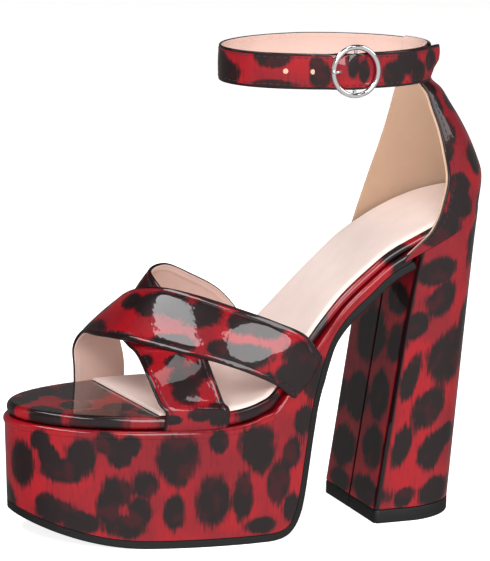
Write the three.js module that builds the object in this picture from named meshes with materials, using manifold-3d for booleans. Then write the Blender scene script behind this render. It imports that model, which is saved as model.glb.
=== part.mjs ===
// Women's left platform sandal with a block heel, in millimetres.
// +X points to the toe, +Y to the outer (lateral) side and +Z up. The origin is on the floor, under the
// middle of the shoe's length and width. A station is the distance back from the tip of the toe.
import * as THREE from "three";
import * as BufferGeometryUtils from "three/addons/utils/BufferGeometryUtils.js";
import Module from "manifold-3d";

// Overall sizes
const shoeLength = 215;
const ballWidth = 86.4;
const treadHeight = 58.4;     // floor to the top of the insole under the ball of the foot
const seatHeight = 90;        // from there up to the back of the heel seat
const instepHeight = 44.4;    // insole to the top of the crossed straps
const toeSpring = 10.2;       // lift of the sole at the tip of the toe
const gap = 0.3;              // clearance between neighbouring pieces

// Layers of the sole, from the top down
const insoleThickness = 1.2;
const insoleInset = 4;
const insoleRound = 0.6;      // how far its top edge is rounded in
const footbedThickness = 5.5;
const waistFootbedThickness = 3.5;
const footbedInset = 1.5;
const waistThickness = 4.2;
const seatTongueThickness = 2.4;
const seatTongueInset = 2.8;
const outsoleThickness = 3.4;
const edgeRound = 0.8;        // rounding of the outsole's edge
const soleDraft = 1.7;        // how far the sole's wall leans in at the floor
const draftDrop = 10;         // the lean begins this far under the tread
const beadHeight = 3.3;       // rolled rim round the top of the platform
const beadDepth = 0.6;

// Heel
const heelWidth = 56;
const heelLength = 44.8;
const heelBreastStation = 156.8;
const heelPitch = 16.5;       // how far the breast leans back between the floor and the seat
const heelCorner = 1.2;       // bevel along the two front corners
const liftThickness = 6;

// Uppers
const strapThickness = 2;
const strapCrown = 0.7;
const strapFootInset = 1.7;
const overStrapRaise = 0.8;   // the upper strap stands this much higher where it crosses the other
const counterThickness = 1.6;
const counterHeight = 53.6;   // from the back of the feather line to the top
const counterProud = 0.4;     // beyond the outline of the seat

// Ankle strap and buckle
const loopLength = 92.4;
const loopWidth = 62;
const loopSetIn = 3.17;       // the back of the loop lies this far in front of the counter's back edge
const loopTilt = 1.25;        // the inner side stands higher than the middle by this
const loopDip = 0.8;          // and the front hangs this much lower
const ankleWidth = 15;
const ankleThickness = 1.6;
const tunnelWidth = 22;
const tunnelWall = 1.3;
const tunnelBrim = 0.8;       // the tunnel's wall over and under the strap
const tunnelSink = 0.57;      // the tunnel is sunk this far into the top of the counter
const ringDiameter = 22.5;
const wireDiameter = 2.2;
const barDiameter = 1.6;
const barDrop = 1;            // the bar lies this much nearer the foot than the ring
const prongDiameter = 1.4;
const holeDiameter = 2.2;
const holeSpacing = 12;

// Places that the sizes above settle
const halfBall = ballWidth / 2;
const seatStation = 0.837 * shoeLength;
const seatEnd = 0.984 * shoeLength;
const toeApex = -0.162 * halfBall;
const seatApex = -0.058 * halfBall;
const breastStation = heelBreastStation + heelPitch;
const waistEnd = breastStation - 1.1;
const degree = Math.PI / 180;
const fullTurn = 360;

const wasm = await Module();
wasm.setup();

// A table: the names of its columns, then a row for each section
function table(names, rows) {
  return rows.map((row) => Object.fromEntries(names.map((name, i) => [name, row[i]])));
}

// A smooth curve through one column of a table, without overshoot
function curveOver(rows, column) {
  const x = rows.map((row) => row.at);
  const y = rows.map((row) => row[column]);
  const step = x.slice(1).map((value, i) => (y[i + 1] - y[i]) / (value - x[i]));
  const slope = x.map((value, i) => {
    if (i === 0 || i === x.length - 1) return 0;
    const product = step[i - 1] * step[i];
    return product > 0 ? 2 * product / (step[i - 1] + step[i]) : 0;
  });
  return (at) => {
    if (at <= x[0]) return y[0];
    if (at >= x[x.length - 1]) return y[y.length - 1];
    const i = x.findIndex((value) => value > at) - 1;
    const width = x[i + 1] - x[i];
    const t = (at - x[i]) / width;
    const rise = y[i + 1] - y[i];
    const bend = slope[i] * width * t * (1 - t) * (1 - t) - slope[i + 1] * width * t * t * (1 - t);
    return y[i] + rise * t * t * (3 - 2 * t) + bend;
  };
}

const mix = (a, b, t) => a + (b - a) * t;
const clamp = THREE.MathUtils.clamp;

// Height of the insole's top along the shoe: at is a share of the length, rise a share of seatHeight
const profileRows = table(["at", "rise"], [
  [0, 0], [0.33, 0], [0.4, 0.012], [0.465, 0.056], [0.512, 0.16], [0.558, 0.28], [0.605, 0.4],
  [0.651, 0.512], [0.698, 0.61], [0.744, 0.695], [0.791, 0.757], [0.837, 0.811], [0.93, 0.912], [1.02, 1.01],
]);
const profileRise = curveOver(profileRows, "rise");
const insoleTop = (station) => treadHeight + seatHeight * profileRise(station / shoeLength);

// A level some way under the insole's top, measured square to its slope
function below(station, depth) {
  const reach = 1.5;
  const slope = (insoleTop(station + reach) - insoleTop(station - reach)) / (2 * reach);
  return insoleTop(station) - depth * Math.hypot(1, slope);
}

// Exponents of the superellipses that round the toe, the seat and the back of the counter
const roundness = { toe: 2.08, seat: 2.2, counter: 2.15 };

// Half widths of the outline behind the ball, as shares of half the ball width
const outlineRows = {
  medial: table(["at", "half"], [
    [0.326, 1], [0.465, 0.845], [0.558, 0.727], [0.651, 0.674], [0.744, 0.715], [0.837, 0.766],
  ]),
  lateral: table(["at", "half"], [
    [0.433, 1], [0.465, 0.985], [0.512, 0.9], [0.558, 0.794], [0.605, 0.715], [0.651, 0.676],
    [0.744, 0.692], [0.837, 0.731],
  ]),
};
// The platform stands out beyond the footbed at the outer back corner of the block
const shelfRows = table(["at", "out"], [
  [0.45, 0], [0.512, 0.05], [0.558, 0.075], [0.605, 0.055], [0.67, 0],
]);
const outlineHalf = {
  medial: curveOver(outlineRows.medial, "half"),
  lateral: curveOver(outlineRows.lateral, "half"),
};
const shelfOut = curveOver(shelfRows, "out");
const sideSign = { medial: -1, lateral: 1 };

// Half width of the outline on one side: a superellipse toe, the table, then a round seat
function halfWidth(side, station, inset) {
  const rows = outlineRows[side];
  const ball = rows[0].at * shoeLength;
  const apex = toeApex * sideSign[side];
  const back = seatApex * sideSign[side];
  if (station < ball) {
    const t = clamp(1 - (station - inset) / (ball - inset), 0, 1);
    return apex + (halfBall - inset - apex) * Math.sqrt(1 - t ** roundness.toe);
  }
  const half = halfBall * outlineHalf[side](station / shoeLength) - inset;
  const t = clamp((station - seatStation) / (seatEnd - inset - seatStation), 0, 1);
  return back + (half - back) * Math.sqrt(1 - t ** roundness.seat);
}

// Stations shared by every layer of the sole, moved in at both ends by the layer's inset
function insetStation(station, inset) {
  const toeShare = clamp(1 - station / (outlineRows.medial[0].at * shoeLength), 0, 1);
  const seatShare = clamp((station - seatStation) / (seatEnd - seatStation), 0, 1);
  return station + inset * (toeShare - seatShare);
}

// A point of the outline, moved in by the inset and out to the shelf on the outer side
function outlinePoint(side, station, inset, height, shelf = 0) {
  const moved = insetStation(station, inset);
  const half = halfWidth(side, moved, inset) + (side === "lateral" ? shelf : 0);
  return new THREE.Vector3(shoeLength / 2 - moved, sideSign[side] * half, height(moved));
}

// Stations for the sole: close together round the toe, the back corner of the block and the seat
function spread(from, to, count, power = 1) {
  return Array.from({ length: count }, (unused, i) => mix(from, to, (i / count) ** power));
}
const zone = { toe: 0.23, tread: 0.41, ball: 0.48, corner: 0.59 };
for (const name of Object.keys(zone)) zone[name] *= shoeLength;
const toeStations = spread(0.12, zone.toe, 13, 2.1);
const treadStations = [...spread(zone.toe, zone.tread, 4), ...spread(zone.tread, zone.ball, 5)];
const cornerStations = spread(zone.ball, zone.corner, 16);
const waistStations = spread(zone.corner, waistEnd, 7);
const seatBegin = breastStation + 0.2;
const seatStations = spread(0, 1, 13).map((t) => mix(seatBegin, seatEnd - 0.15, 1 - (1 - t) ** 2));
const blockStations = [...toeStations, ...treadStations, ...cornerStations, ...waistStations, waistEnd];
const allStations = [...blockStations, seatBegin, ...seatStations.slice(1), seatEnd - 0.15];

// A closed geometry from points and triangles
function geometryOf(points, triangles) {
  const geometry = new THREE.BufferGeometry();
  const positions = points.flatMap((point) => [point.x, point.y, point.z]);
  geometry.setAttribute("position", new THREE.Float32BufferAttribute(positions, 3));
  geometry.setIndex(triangles.flat());
  return geometry;
}

function manifoldOf(geometry) {
  const bare = geometry.clone();
  bare.deleteAttribute("normal");
  bare.deleteAttribute("uv");
  const merged = BufferGeometryUtils.mergeVertices(bare, 1e-4);
  const vertProperties = new Float32Array(merged.attributes.position.array);
  const triVerts = new Uint32Array(merged.index.array);
  return new wasm.Manifold(new wasm.Mesh({ numProp: 3, vertProperties, triVerts }));
}

function geometryFrom(manifold) {
  const mesh = manifold.getMesh();
  const geometry = new THREE.BufferGeometry();
  const positions = [];
  for (let i = 0; i < mesh.vertProperties.length; i += mesh.numProp) {
    positions.push(...mesh.vertProperties.slice(i, i + 3));
  }
  geometry.setAttribute("position", new THREE.Float32BufferAttribute(positions, 3));
  geometry.setIndex(Array.from(mesh.triVerts));
  return geometry;
}

// The largest body of a cut solid, without the slivers that a cut can leave
function largestOf(manifold) {
  const bodies = manifold.decompose();
  return bodies.reduce((best, body) => (body.volume() > best.volume() ? body : best));
}

// Closed loops of equal length joined into a wall. The wall is capped by strips from side to side.
// Each loop runs down one side and back up the other.
function loftLoops(loops) {
  const count = loops[0].length;
  const points = loops.flat();
  const triangles = [];
  const quad = (a, b, c, d) => triangles.push([a, b, c], [a, c, d]);
  for (let level = 0; level < loops.length - 1; level++) {
    for (let i = 0; i < count; i++) {
      const next = (i + 1) % count;
      quad(level * count + i, level * count + next, (level + 1) * count + next, (level + 1) * count + i);
    }
  }
  const top = (loops.length - 1) * count;
  for (let i = 0; i < count / 2 - 1; i++) {
    const far = count - 1 - i;
    quad(i, far, far - 1, i + 1);
    quad(top + i, top + i + 1, top + far - 1, top + far);
  }
  return outward(geometryOf(points, triangles));
}

// Sections of equal length joined end to end, with flat ends
function loftSections(sections) {
  const count = sections[0].length;
  const points = sections.flat();
  const triangles = [];
  for (let row = 0; row < sections.length - 1; row++) {
    for (let i = 0; i < count; i++) {
      const next = (i + 1) % count;
      const here = row * count;
      const there = here + count;
      triangles.push([here + i, here + next, there + next], [here + i, there + next, there + i]);
    }
  }
  const last = (sections.length - 1) * count;
  for (let i = 0; i < count / 2 - 1; i++) {
    const far = count - 1 - i;
    triangles.push([i, far, i + 1], [i + 1, far, far - 1]);
    triangles.push([last + i, last + i + 1, last + far], [last + i + 1, last + far - 1, last + far]);
  }
  return outward(geometryOf(points, triangles));
}

// Turns a closed geometry inside out where its faces point in
function outward(geometry) {
  const position = geometry.attributes.position;
  const index = geometry.index.array;
  const corner = (i) => new THREE.Vector3().fromBufferAttribute(position, index[i]);
  let volume = 0;
  for (let i = 0; i < index.length; i += 3) {
    volume += corner(i).dot(corner(i + 1).cross(corner(i + 2)));
  }
  if (volume > 0) return geometry;
  const turned = [];
  for (let i = 0; i < index.length; i += 3) turned.push(index[i], index[i + 2], index[i + 1]);
  geometry.setIndex(turned);
  return geometry;
}

// A loop of the outline: out along the outer side from toe to seat, back along the inner side
function outlineLoop(stations, inset, height) {
  const at = (side) => (station) => outlinePoint(side, station, inset, height);
  return [...stations.map(at("lateral")), ...stations.map(at("medial")).reverse()];
}

// Levels of the sole
const footbedTop = (station) => below(station, insoleThickness + gap);
const thicknessRows = table(["at", "waist"], [[0.42, 0], [0.56, 1]]);
const waistShare = curveOver(thicknessRows, "waist");
const bedDepth = (station) =>
  mix(footbedThickness, waistFootbedThickness, waistShare(station / shoeLength));
const bedBottomDepth = (station) => insoleThickness + gap + bedDepth(station);
const footbedBottom = (station) => below(station, bedBottomDepth(station));
const platformTop = (station) => below(station, bedBottomDepth(station) + gap);
const tongueBottom = (station) =>
  below(station, bedBottomDepth(station) + gap + seatTongueThickness);
const heelTop = (station) =>
  below(station, bedBottomDepth(station) + 2 * gap + seatTongueThickness);

// Lower face of the outsole: flat tread, the round back corner and wall of the block, then the waist.
// at is a share of the length, height a share of treadHeight.
const cornerRows = table(["at", "height"], [
  [0.48, 0], [0.503, 0.007], [0.521, 0.026], [0.535, 0.062], [0.546, 0.115], [0.555, 0.19], [0.563, 0.32],
  [0.57, 0.5], [0.579, 0.74], [0.589, 0.95], [0.6, 1.09], [0.617, 1.23], [0.636, 1.36],
]);
const cornerHeight = curveOver(cornerRows, "height");
const soleDepth = (station) =>
  bedBottomDepth(station) + gap + waistThickness + gap + outsoleThickness;
const springEnd = 0.233 * shoeLength;
const waistBlend = { from: 0.605, over: 0.031 };
function outsoleBottom(station) {
  if (station < springEnd) return toeSpring * (1 - station / springEnd) ** 2;
  const share = station / shoeLength;
  const waist = below(station, soleDepth(station));
  const corner = treadHeight * cornerHeight(share);
  return mix(corner, waist, clamp((share - waistBlend.from) / waistBlend.over, 0, 1));
}

// The same face moved up into the sole by some thickness: straight up in front, square to it behind
function raisedSole(station, thickness) {
  const reach = 0.4;
  const slope = (outsoleBottom(station + reach) - outsoleBottom(station - reach)) / (2 * reach);
  const run = Math.hypot(1, slope);
  const onTread = station < shelfRows[0].at * shoeLength;
  if (onTread) return { station, height: outsoleBottom(station) + thickness * run };
  const height = outsoleBottom(station) + thickness / run;
  return { station: station - thickness * slope / run, height };
}

// Wall of the sole: how far a point at some height leans in from the rim
const draftAt = (height) => soleDraft * clamp(1 - height / (treadHeight - draftDrop), 0, 1);

function soleLoop(stations, thickness, extraInset) {
  const side = (name) => stations.map((station) => {
    const raised = raisedSole(station, thickness);
    const shelf = halfBall * shelfOut(raised.station / shoeLength);
    return outlinePoint(name, raised.station, draftAt(raised.height) + extraInset,
      () => raised.height, shelf);
  });
  return [...side("lateral"), ...side("medial").reverse()];
}

function outsole() {
  return loftLoops([
    soleLoop(blockStations, 0, beadDepth + edgeRound),
    soleLoop(blockStations, edgeRound, beadDepth),
    soleLoop(blockStations, outsoleThickness, beadDepth),
  ]);
}

// Stations of the platform with the height of its underside and how far it is tucked in
const platformColumns = allStations.map((station) => {
  if (station > waistEnd + 0.01) return { station, height: tongueBottom(station), tuck: seatTongueInset };
  return { ...raisedSole(station, outsoleThickness + gap), tuck: 0 };
});

// The rolled rim, from its foot over to the platform's top: shares of its depth and of its height
const rimRows = table(["inset", "down"], [[1, 1], [0.5, 0.82], [0, 0.5], [0.67, 0.15], [2.33, 0]]);

// The covered block: a rolled rim at the top, a plain wall below, a thin tongue back over the heel
function platform() {
  const level = (inset, height) => {
    const side = (name) => platformColumns.map((column) => {
      const shelf = halfBall * shelfOut(column.station / shoeLength);
      const moved = (station) => height(column, station);
      return outlinePoint(name, column.station, inset(column) + column.tuck, moved, shelf);
    });
    return [...side("lateral"), ...side("medial").reverse()];
  };
  const rim = (inset, depth) => level(() => inset, (column, station) => {
    const top = platformTop(station);
    return top - depth * Math.min(1, (top - column.height) / (beadHeight + beadDepth));
  });
  return loftLoops([
    level((column) => beadDepth + draftAt(column.height), (column) => column.height),
    ...rimRows.map((row) => rim(row.inset * beadDepth, row.down * beadHeight)),
  ]);
}

// The footbed's rolled edge from the bottom up: how far it is rolled in at a share of the thickness
const rollRows = table(["inset", "share"], [[0.7, 0], [0.1, 0.16], [0, 0.5], [0.2, 0.8], [1.3, 1]]);

// Wrapped board that the foot stands on, with a rolled edge
const bedStations = [...toeStations, ...treadStations, ...spread(zone.ball, zone.corner, 8),
  ...waistStations, waistEnd, ...seatStations, seatEnd - 0.15];
function footbed(strapRoom) {
  const level = (inset, share) => outlineLoop(bedStations, footbedInset + inset,
    (station) => mix(footbedBottom(station), footbedTop(station), share));
  const board = loftLoops(rollRows.map((row) => level(row.inset, row.share)));
  return geometryFrom(manifoldOf(board).subtract(manifoldOf(strapRoom)));
}

// Insole over the footbed, cut off across the toes
const insoleFront = { lateral: 0.249 * shoeLength, medial: 0.226 * shoeLength };
function insole() {
  const behind = bedStations.filter((station) => station > insoleFront.lateral + insoleInset);
  const level = (inset, height) => {
    const side = (name) => [insoleFront[name], ...behind].map((station) =>
      outlinePoint(name, station, insoleInset + inset, height));
    return [...side("lateral"), ...side("medial").reverse()];
  };
  const bottom = (station) => below(station, insoleThickness);
  const shoulder = (station) => below(station, insoleRound / 2);
  return loftLoops([level(0, bottom), level(0, shoulder), level(insoleRound, insoleTop)]);
}

// Outline of the heel at a share of its height, from the front corner round to the back.
// share 0 is the floor and share 1 the seat; turn runs from 0 at the breast to 1 at the back.
const flareRows = table(["at", "flare"], [[0, 0], [0.6, 0.06], [0.82, 0.3], [0.93, 0.7], [1, 1]]);
const heelFlare = curveOver(flareRows, "flare");
const straight = 0.36;        // share of the heel's length that runs straight back before its sides close
function heelPoint(side, share, turn) {
  const reach = Math.sin(turn * Math.PI / 2) ** 0.9;
  const foot = mix(heelBreastStation, heelBreastStation + heelLength, reach);
  const seat = mix(breastStation, seatEnd - 0.4, reach);
  const arc = clamp((reach - straight) / (1 - straight), 0, 1);
  const footHalf = heelWidth / 2 * Math.sqrt(Math.max(0, 1 - arc ** 2));
  const seatHalf = halfWidth(side, seat, -counterProud);
  const station = mix(foot, seat, share);
  const floor = liftThickness + gap;
  return new THREE.Vector3(
    shoeLength / 2 - station,
    sideSign[side] * mix(footHalf, seatHalf, heelFlare(share)),
    mix(floor, heelTop(seat), share),
  );
}

const heelTurns = [0, 0.02, ...spread(0.08, 0.97, 12), 0.97];
const heelShares = [0, 0.3, 0.6, 0.72, 0.82, 0.9, 0.96, 1];
function heelLoop(share) {
  const side = (name) => heelTurns.map((turn, i) => {
    const point = heelPoint(name, share, turn);
    if (i === 0) point.y -= sideSign[name] * heelCorner;
    return point;
  });
  return [...side("lateral"), ...side("medial").reverse()];
}

function heelBlock() {
  return loftLoops(heelShares.map(heelLoop));
}

function topLift() {
  const level = (height) => heelLoop(0).map((point) => new THREE.Vector3(point.x, point.y, height));
  return loftLoops([level(0), level(liftThickness)]);
}

// Heel counter: at is a share of its height. The stations are those of its back and of its two front
// edges, as shares of the length, and half its half width as a share of half the ball width.
const counterRows = table(["at", "back", "lateral", "medial", "half"], [
  [0, 0.986, 0.772, 0.772, 0.762],
  [0.1, 0.993, 0.833, 0.789, 0.75],
  [0.24, 0.991, 0.859, 0.805, 0.718],
  [0.39, 0.98, 0.872, 0.82, 0.677],
  [0.56, 0.962, 0.867, 0.836, 0.622],
  [0.7, 0.942, 0.86, 0.845, 0.566],
  [0.83, 0.919, 0.849, 0.849, 0.507],
  [0.92, 0.902, 0.842, 0.851, 0.466],
  [1, 0.878, 0.828, 0.84, 0.428],
]);
const counterCurve = Object.fromEntries(["back", "lateral", "medial", "half"].map((column) =>
  [column, curveOver(counterRows, column)]));

// The edge that rests on the platform in front of the heel and on the heel behind it
function featherLine(station) {
  const onHeel = clamp((station - breastStation + 1) / 1.2, 0, 1);
  return mix(platformTop(station), heelTop(station), onHeel) + gap;
}

const counterTop = featherLine(seatEnd) + counterHeight;
const cupShare = 0.24;        // up to here the counter follows the seat's outline, above it its own

// A point of the counter: turn runs from 0 at a front edge to 1 at the back, inward is depth of wall
function counterPoint(side, share, turn, inward) {
  const length = shoeLength;
  const front = counterCurve[side](share) * length;
  const back = counterCurve.back(share) * length - inward;
  const station = mix(front, back - 0.02, Math.sin(turn * Math.PI / 2));
  const half = counterCurve.half(share) * halfBall - inward;
  const middle = back - half * 1.06;
  const round = clamp((station - middle) / (back - middle), 0, 1);
  const cup = half * Math.sqrt(1 - round ** roundness.counter);
  const seat = halfWidth(side, Math.min(station, seatEnd - 0.05), inward - counterProud);
  const onSeat = clamp(1 - share / cupShare, 0, 1);
  const blend = onSeat * onSeat * (3 - 2 * onSeat);
  const centre = seatApex * 0.3;
  return new THREE.Vector3(
    length / 2 - station,
    mix(sideSign[side] * cup + centre, sideSign[side] * seat, blend),
    mix(featherLine(station), counterTop, share),
  );
}

// The ankle strap's loop is hung from the top of the counter
const topEdgeStation = counterCurve.back(1) * shoeLength;
const loopMiddle = shoeLength / 2 - topEdgeStation + loopSetIn + loopLength / 2;
const loopHeight = counterTop - tunnelSink + tunnelBrim + gap + ankleWidth / 2;

// Frame of the ankle strap at a turn in degrees: 90 is the buckle, 180 the back, 360 the front
function loopFrame(turn, lift, height = 0) {
  const long = loopLength / 2;
  const wide = loopWidth / 2;
  const c = Math.cos(turn * degree);
  const s = Math.sin(turn * degree);
  const out = new THREE.Vector3(c / long, s / wide, 0).normalize();
  const point = new THREE.Vector3(loopMiddle + long * c, wide * s, 0).addScaledVector(out, lift);
  point.z = loopHeight - loopTilt * s - loopDip * Math.max(0, c) + height;
  return point;
}

// Places along the strap are measured from the buckle's bar, backwards, in turns of the loop
const turnOf = (distance) => 90 + distance / (loopLength / 2) / degree;
const tailLift = ankleThickness + gap + 0.1;
const ringRadius = ringDiameter / 2;
const ringSink = 0.6;         // the ring sinks this far into the pinched band
const ringLift = tailLift + ankleThickness / 2 + gap + wireDiameter / 2 - ringSink;
const barLift = ringLift - barDrop + barDiameter / 2 + gap + ankleThickness / 2;

// Where the band runs: at is a distance from the bar in ring radii, lift its distance off the loop at
// the middle of its width and edge the same at its two edges, which pass under the ring
const startRows = table(["at", "lift", "edge"], [
  [0.13, ringLift - barDrop, ringLift - barDrop], [0.36, 1.2, 1.2], [0.62, 0.1, 0.1], [0.9, 0, 0],
]);
const passRows = table(["at", "lift", "edge"], [
  [-2.5, 0, 0],
  [-1.6, 0.4 * tailLift, 0.4 * tailLift],
  [-0.91, tailLift - 0.15, tailLift - 0.25],
  [-0.7, 0.58 * barLift, tailLift - 0.3],
  [-0.45, 0.78 * barLift, tailLift - 0.2],
  [-0.25, 0.92 * barLift, 0.78 * barLift],
  [0, barLift, barLift],
  [0.25, 0.92 * barLift, 0.78 * barLift],
  [0.45, 0.78 * barLift, tailLift - 0.2],
  [0.7, 0.58 * barLift, tailLift - 0.2],
  [0.91, tailLift - 0.1, tailLift - 0.15],
  [1.3, tailLift, tailLift],
  [4, tailLift, tailLift],
  [4.7, tailLift + 1, tailLift + 1],
  [5.15, tailLift + 2.8, tailLift + 2.8],
]);
const startLift = curveOver(startRows, "lift");
const passLift = curveOver(passRows, "lift");
const passEdge = curveOver(passRows, "edge");
const tailEnd = 5.1;
const tailTaper = { from: 4.3, cut: 0.55 };   // the tail narrows from here on, by this share of its width

// Places along the band from its start at the bar, round the ankle and on to the end of the tail
function bandStations() {
  const near = (from, to, step) => spread(from, to, Math.round((to - from) / step));
  const first = [...near(0.13, 1, 0.11), ...near(1, 2, 0.5)];
  const around = spread(turnOf(2 * ringRadius), turnOf(-2.5 * ringRadius) + fullTurn, 42);
  const second = [...near(-2.5, -1.4, 0.28), ...near(-1.4, 1.4, 0.1), ...near(1.4, tailEnd, 0.36), tailEnd];
  return [
    ...first.map((at) =>
      ({ turn: turnOf(at * ringRadius), lift: startLift(at), edge: startLift(at), cut: 0 })),
    ...around.map((turn) => ({ turn, lift: 0, edge: 0, cut: 0 })),
    ...second.map((at) => ({
      turn: turnOf(at * ringRadius) + fullTurn,
      lift: passLift(at),
      edge: passEdge(at),
      cut: clamp((at - tailTaper.from) / (tailEnd - tailTaper.from), 0, 1),
    })),
  ];
}

function ankleBand() {
  const half = ankleWidth / 2;
  const wall = ankleThickness / 2;
  return bandStations().map(({ turn, lift, edge, cut }) => {
    const foot = -half + cut * ankleWidth * tailTaper.cut;
    const middle = (foot + half) / 2;
    return [
      loopFrame(turn, edge - wall, foot),
      loopFrame(turn, lift - wall, middle),
      loopFrame(turn, edge - wall, half),
      loopFrame(turn, edge + wall, half),
      loopFrame(turn, lift + wall, middle),
      loopFrame(turn, edge + wall, foot),
    ];
  });
}

// A round bar between two points
function rod(from, to, diameter, sides) {
  const length = from.distanceTo(to);
  const geometry = new THREE.CylinderGeometry(diameter / 2, diameter / 2, length, sides);
  const up = new THREE.Vector3(0, 1, 0);
  const along = to.clone().sub(from).normalize();
  geometry.applyQuaternion(new THREE.Quaternion().setFromUnitVectors(up, along));
  const middle = from.clone().add(to).multiplyScalar(0.5);
  return geometry.translate(middle.x, middle.y, middle.z);
}

// Places in the buckle's plane: back is the distance behind the bar, out the distance off the loop
function bucklePlace(back, out, height = 0) {
  return new THREE.Vector3(loopMiddle - back, loopWidth / 2 + out, loopHeight - loopTilt + height);
}

const prongRest = ringLift + (wireDiameter + prongDiameter) / 2 + gap;
const prongPath = [
  bucklePlace(-(barDiameter / 2 + gap), ringLift - barDrop),
  bucklePlace(-(ringRadius - wireDiameter / 2), prongRest),
  bucklePlace(-(ringRadius + wireDiameter), prongRest),
];

function prongSolid(extra) {
  const curve = new THREE.CatmullRomCurve3(prongPath);
  const shape = new THREE.Shape().absarc(0, 0, prongDiameter / 2 + extra, 0, 2 * Math.PI);
  return new THREE.ExtrudeGeometry(shape, { steps: 10, curveSegments: 4, extrudePath: curve });
}

function ankleStrap() {
  let band = manifoldOf(loftSections(ankleBand()));
  band = band.subtract(manifoldOf(prongSolid(gap)));
  for (const count of [1, 2]) {
    const turn = turnOf(-ringRadius / 2 - count * holeSpacing) + fullTurn;
    const reach = 2 * (tailLift + ankleThickness);
    const hole = rod(loopFrame(turn, -reach), loopFrame(turn, reach), holeDiameter, 10);
    band = band.subtract(manifoldOf(hole));
  }
  return geometryFrom(band);
}

function buckleRing() {
  const ring = new THREE.TorusGeometry(ringRadius - wireDiameter / 2, wireDiameter / 2, 10, 40);
  ring.rotateX(Math.PI / 2);
  const centre = bucklePlace(0, ringLift);
  ring.translate(centre.x, centre.y, centre.z);
  const reach = ringRadius - wireDiameter / 2;
  const bar = rod(
    bucklePlace(0, ringLift - barDrop, -reach), bucklePlace(0, ringLift - barDrop, reach), barDiameter, 10);
  return geometryFrom(manifoldOf(ring).add(manifoldOf(bar)));
}

// A piece of the ankle strap's loop across the back: the tunnel's shell, or the passage through it
function tunnelWalls(thickness, height, width) {
  const half = Math.asin(Math.min(1, width / loopWidth)) / degree;
  const sections = [...spread(180 - half, 180 + half, 8), 180 + half].map((turn) => [
    loopFrame(turn, -thickness / 2, -height / 2), loopFrame(turn, thickness / 2, -height / 2),
    loopFrame(turn, thickness / 2, height / 2), loopFrame(turn, -thickness / 2, height / 2),
  ]);
  return manifoldOf(loftSections(sections));
}

// The cup round the back of the heel, with the tunnel that the ankle strap passes through on top
function counter() {
  const turns = [...spread(0, 1, 12, 1.1), 1];
  const shares = [...spread(0, 1, 16), 1];
  const face = (inward) => shares.map((share) => [
    ...turns.map((turn) => counterPoint("lateral", share, turn, inward)),
    ...turns.map((turn) => counterPoint("medial", share, turn, inward)).reverse().slice(1),
  ]);
  const outer = face(0);
  const inner = face(counterThickness);
  const wall = loftSections(outer.map((row, i) => [...row, ...inner[i].reverse()]));
  const bore = ankleThickness + 3 * gap;
  const boreHeight = ankleWidth + 2 * gap;
  const shell = tunnelWalls(bore + 2 * tunnelWall, boreHeight + 2 * tunnelBrim, tunnelWidth);
  const passage = tunnelWalls(bore, boreHeight, 1.5 * tunnelWidth);
  return geometryFrom(manifoldOf(wall).add(shell).subtract(passage));
}

// Crossed straps. share runs from the outer side to the inner side. Each edge has a station as a share
// of the length, a place across as a share of half the ball width, and a height over the insole at the
// ball as a share of instepHeight. The first and last rows stand on the platform beside the footbed.
const strapColumns = ["frontAt", "frontAcross", "frontUp", "backAt", "backAcross", "backUp"];
const overRows = table(strapColumns, [
  [0.521, 0.937, 0.09, 0.583, 0.87, 0.46],
  [0.484, 0.9, 0.215, 0.553, 0.842, 0.66],
  [0.423, 0.8, 0.345, 0.498, 0.737, 0.785],
  [0.363, 0.648, 0.432, 0.435, 0.533, 0.888],
  [0.3, 0.417, 0.492, 0.372, 0.243, 0.974],
  [0.237, 0.07, 0.533, 0.321, -0.093, 1],
  [0.207, -0.37, 0.5, 0.288, -0.417, 0.93],
  [0.195, -0.74, 0.45, 0.272, -0.683, 0.77],
  [0.186, -0.87, 0.3, 0.283, -0.9, 0.48],
  [0.188, -0.88, 0.1, 0.3, -0.945, 0.15],
]);
const underRows = table(strapColumns, [
  [0.258, 0.9, 0.02, 0.386, 0.957, 0.02],
  [0.249, 0.86, 0.08, 0.381, 0.903, 0.055],
  [0.24, 0.625, 0.295, 0.37, 0.8, 0.25],
  [0.245, 0.21, 0.44, 0.358, 0.463, 0.6],
  [0.244, -0.023, 0.475, 0.337, 0.093, 0.88],
  [0.24, -0.208, 0.543, 0.321, -0.208, 1.027],
  [0.251, -0.405, 0.633, 0.323, -0.463, 1.126],
  [0.284, -0.625, 0.655, 0.363, -0.613, 1.151],
  [0.335, -0.787, 0.554, 0.423, -0.718, 1.027],
  [0.409, -0.85, 0.306, 0.498, -0.775, 0.813],
  [0.445, -0.86, 0.13, 0.547, -0.76, 0.5],
]);

// Foot of a strap edge, just inside the platform's rim. It runs past the platform's top, which trims it.
const footReach = 5;
function strapFoot(side, share) {
  const station = share * shoeLength;
  const shelf = side === "lateral" ? halfBall * shelfOut(share) : 0;
  const half = halfWidth(side, station, strapFootInset + strapThickness / 2) + shelf;
  return new THREE.Vector3(shoeLength / 2 - station, sideSign[side] * half,
    platformTop(station) - footReach);
}

function strapEdge(rows, edge) {
  const last = rows.length - 1;
  const points = rows.map((row) => new THREE.Vector3(
    shoeLength / 2 - row[`${edge}At`] * shoeLength,
    row[`${edge}Across`] * halfBall,
    treadHeight + row[`${edge}Up`] * instepHeight,
  ));
  const feet = [strapFoot("lateral", rows[0][`${edge}At`]), strapFoot("medial", rows[last][`${edge}At`])];
  return new THREE.CatmullRomCurve3([feet[0], ...points, feet[1]], false, "centripetal");
}

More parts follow.
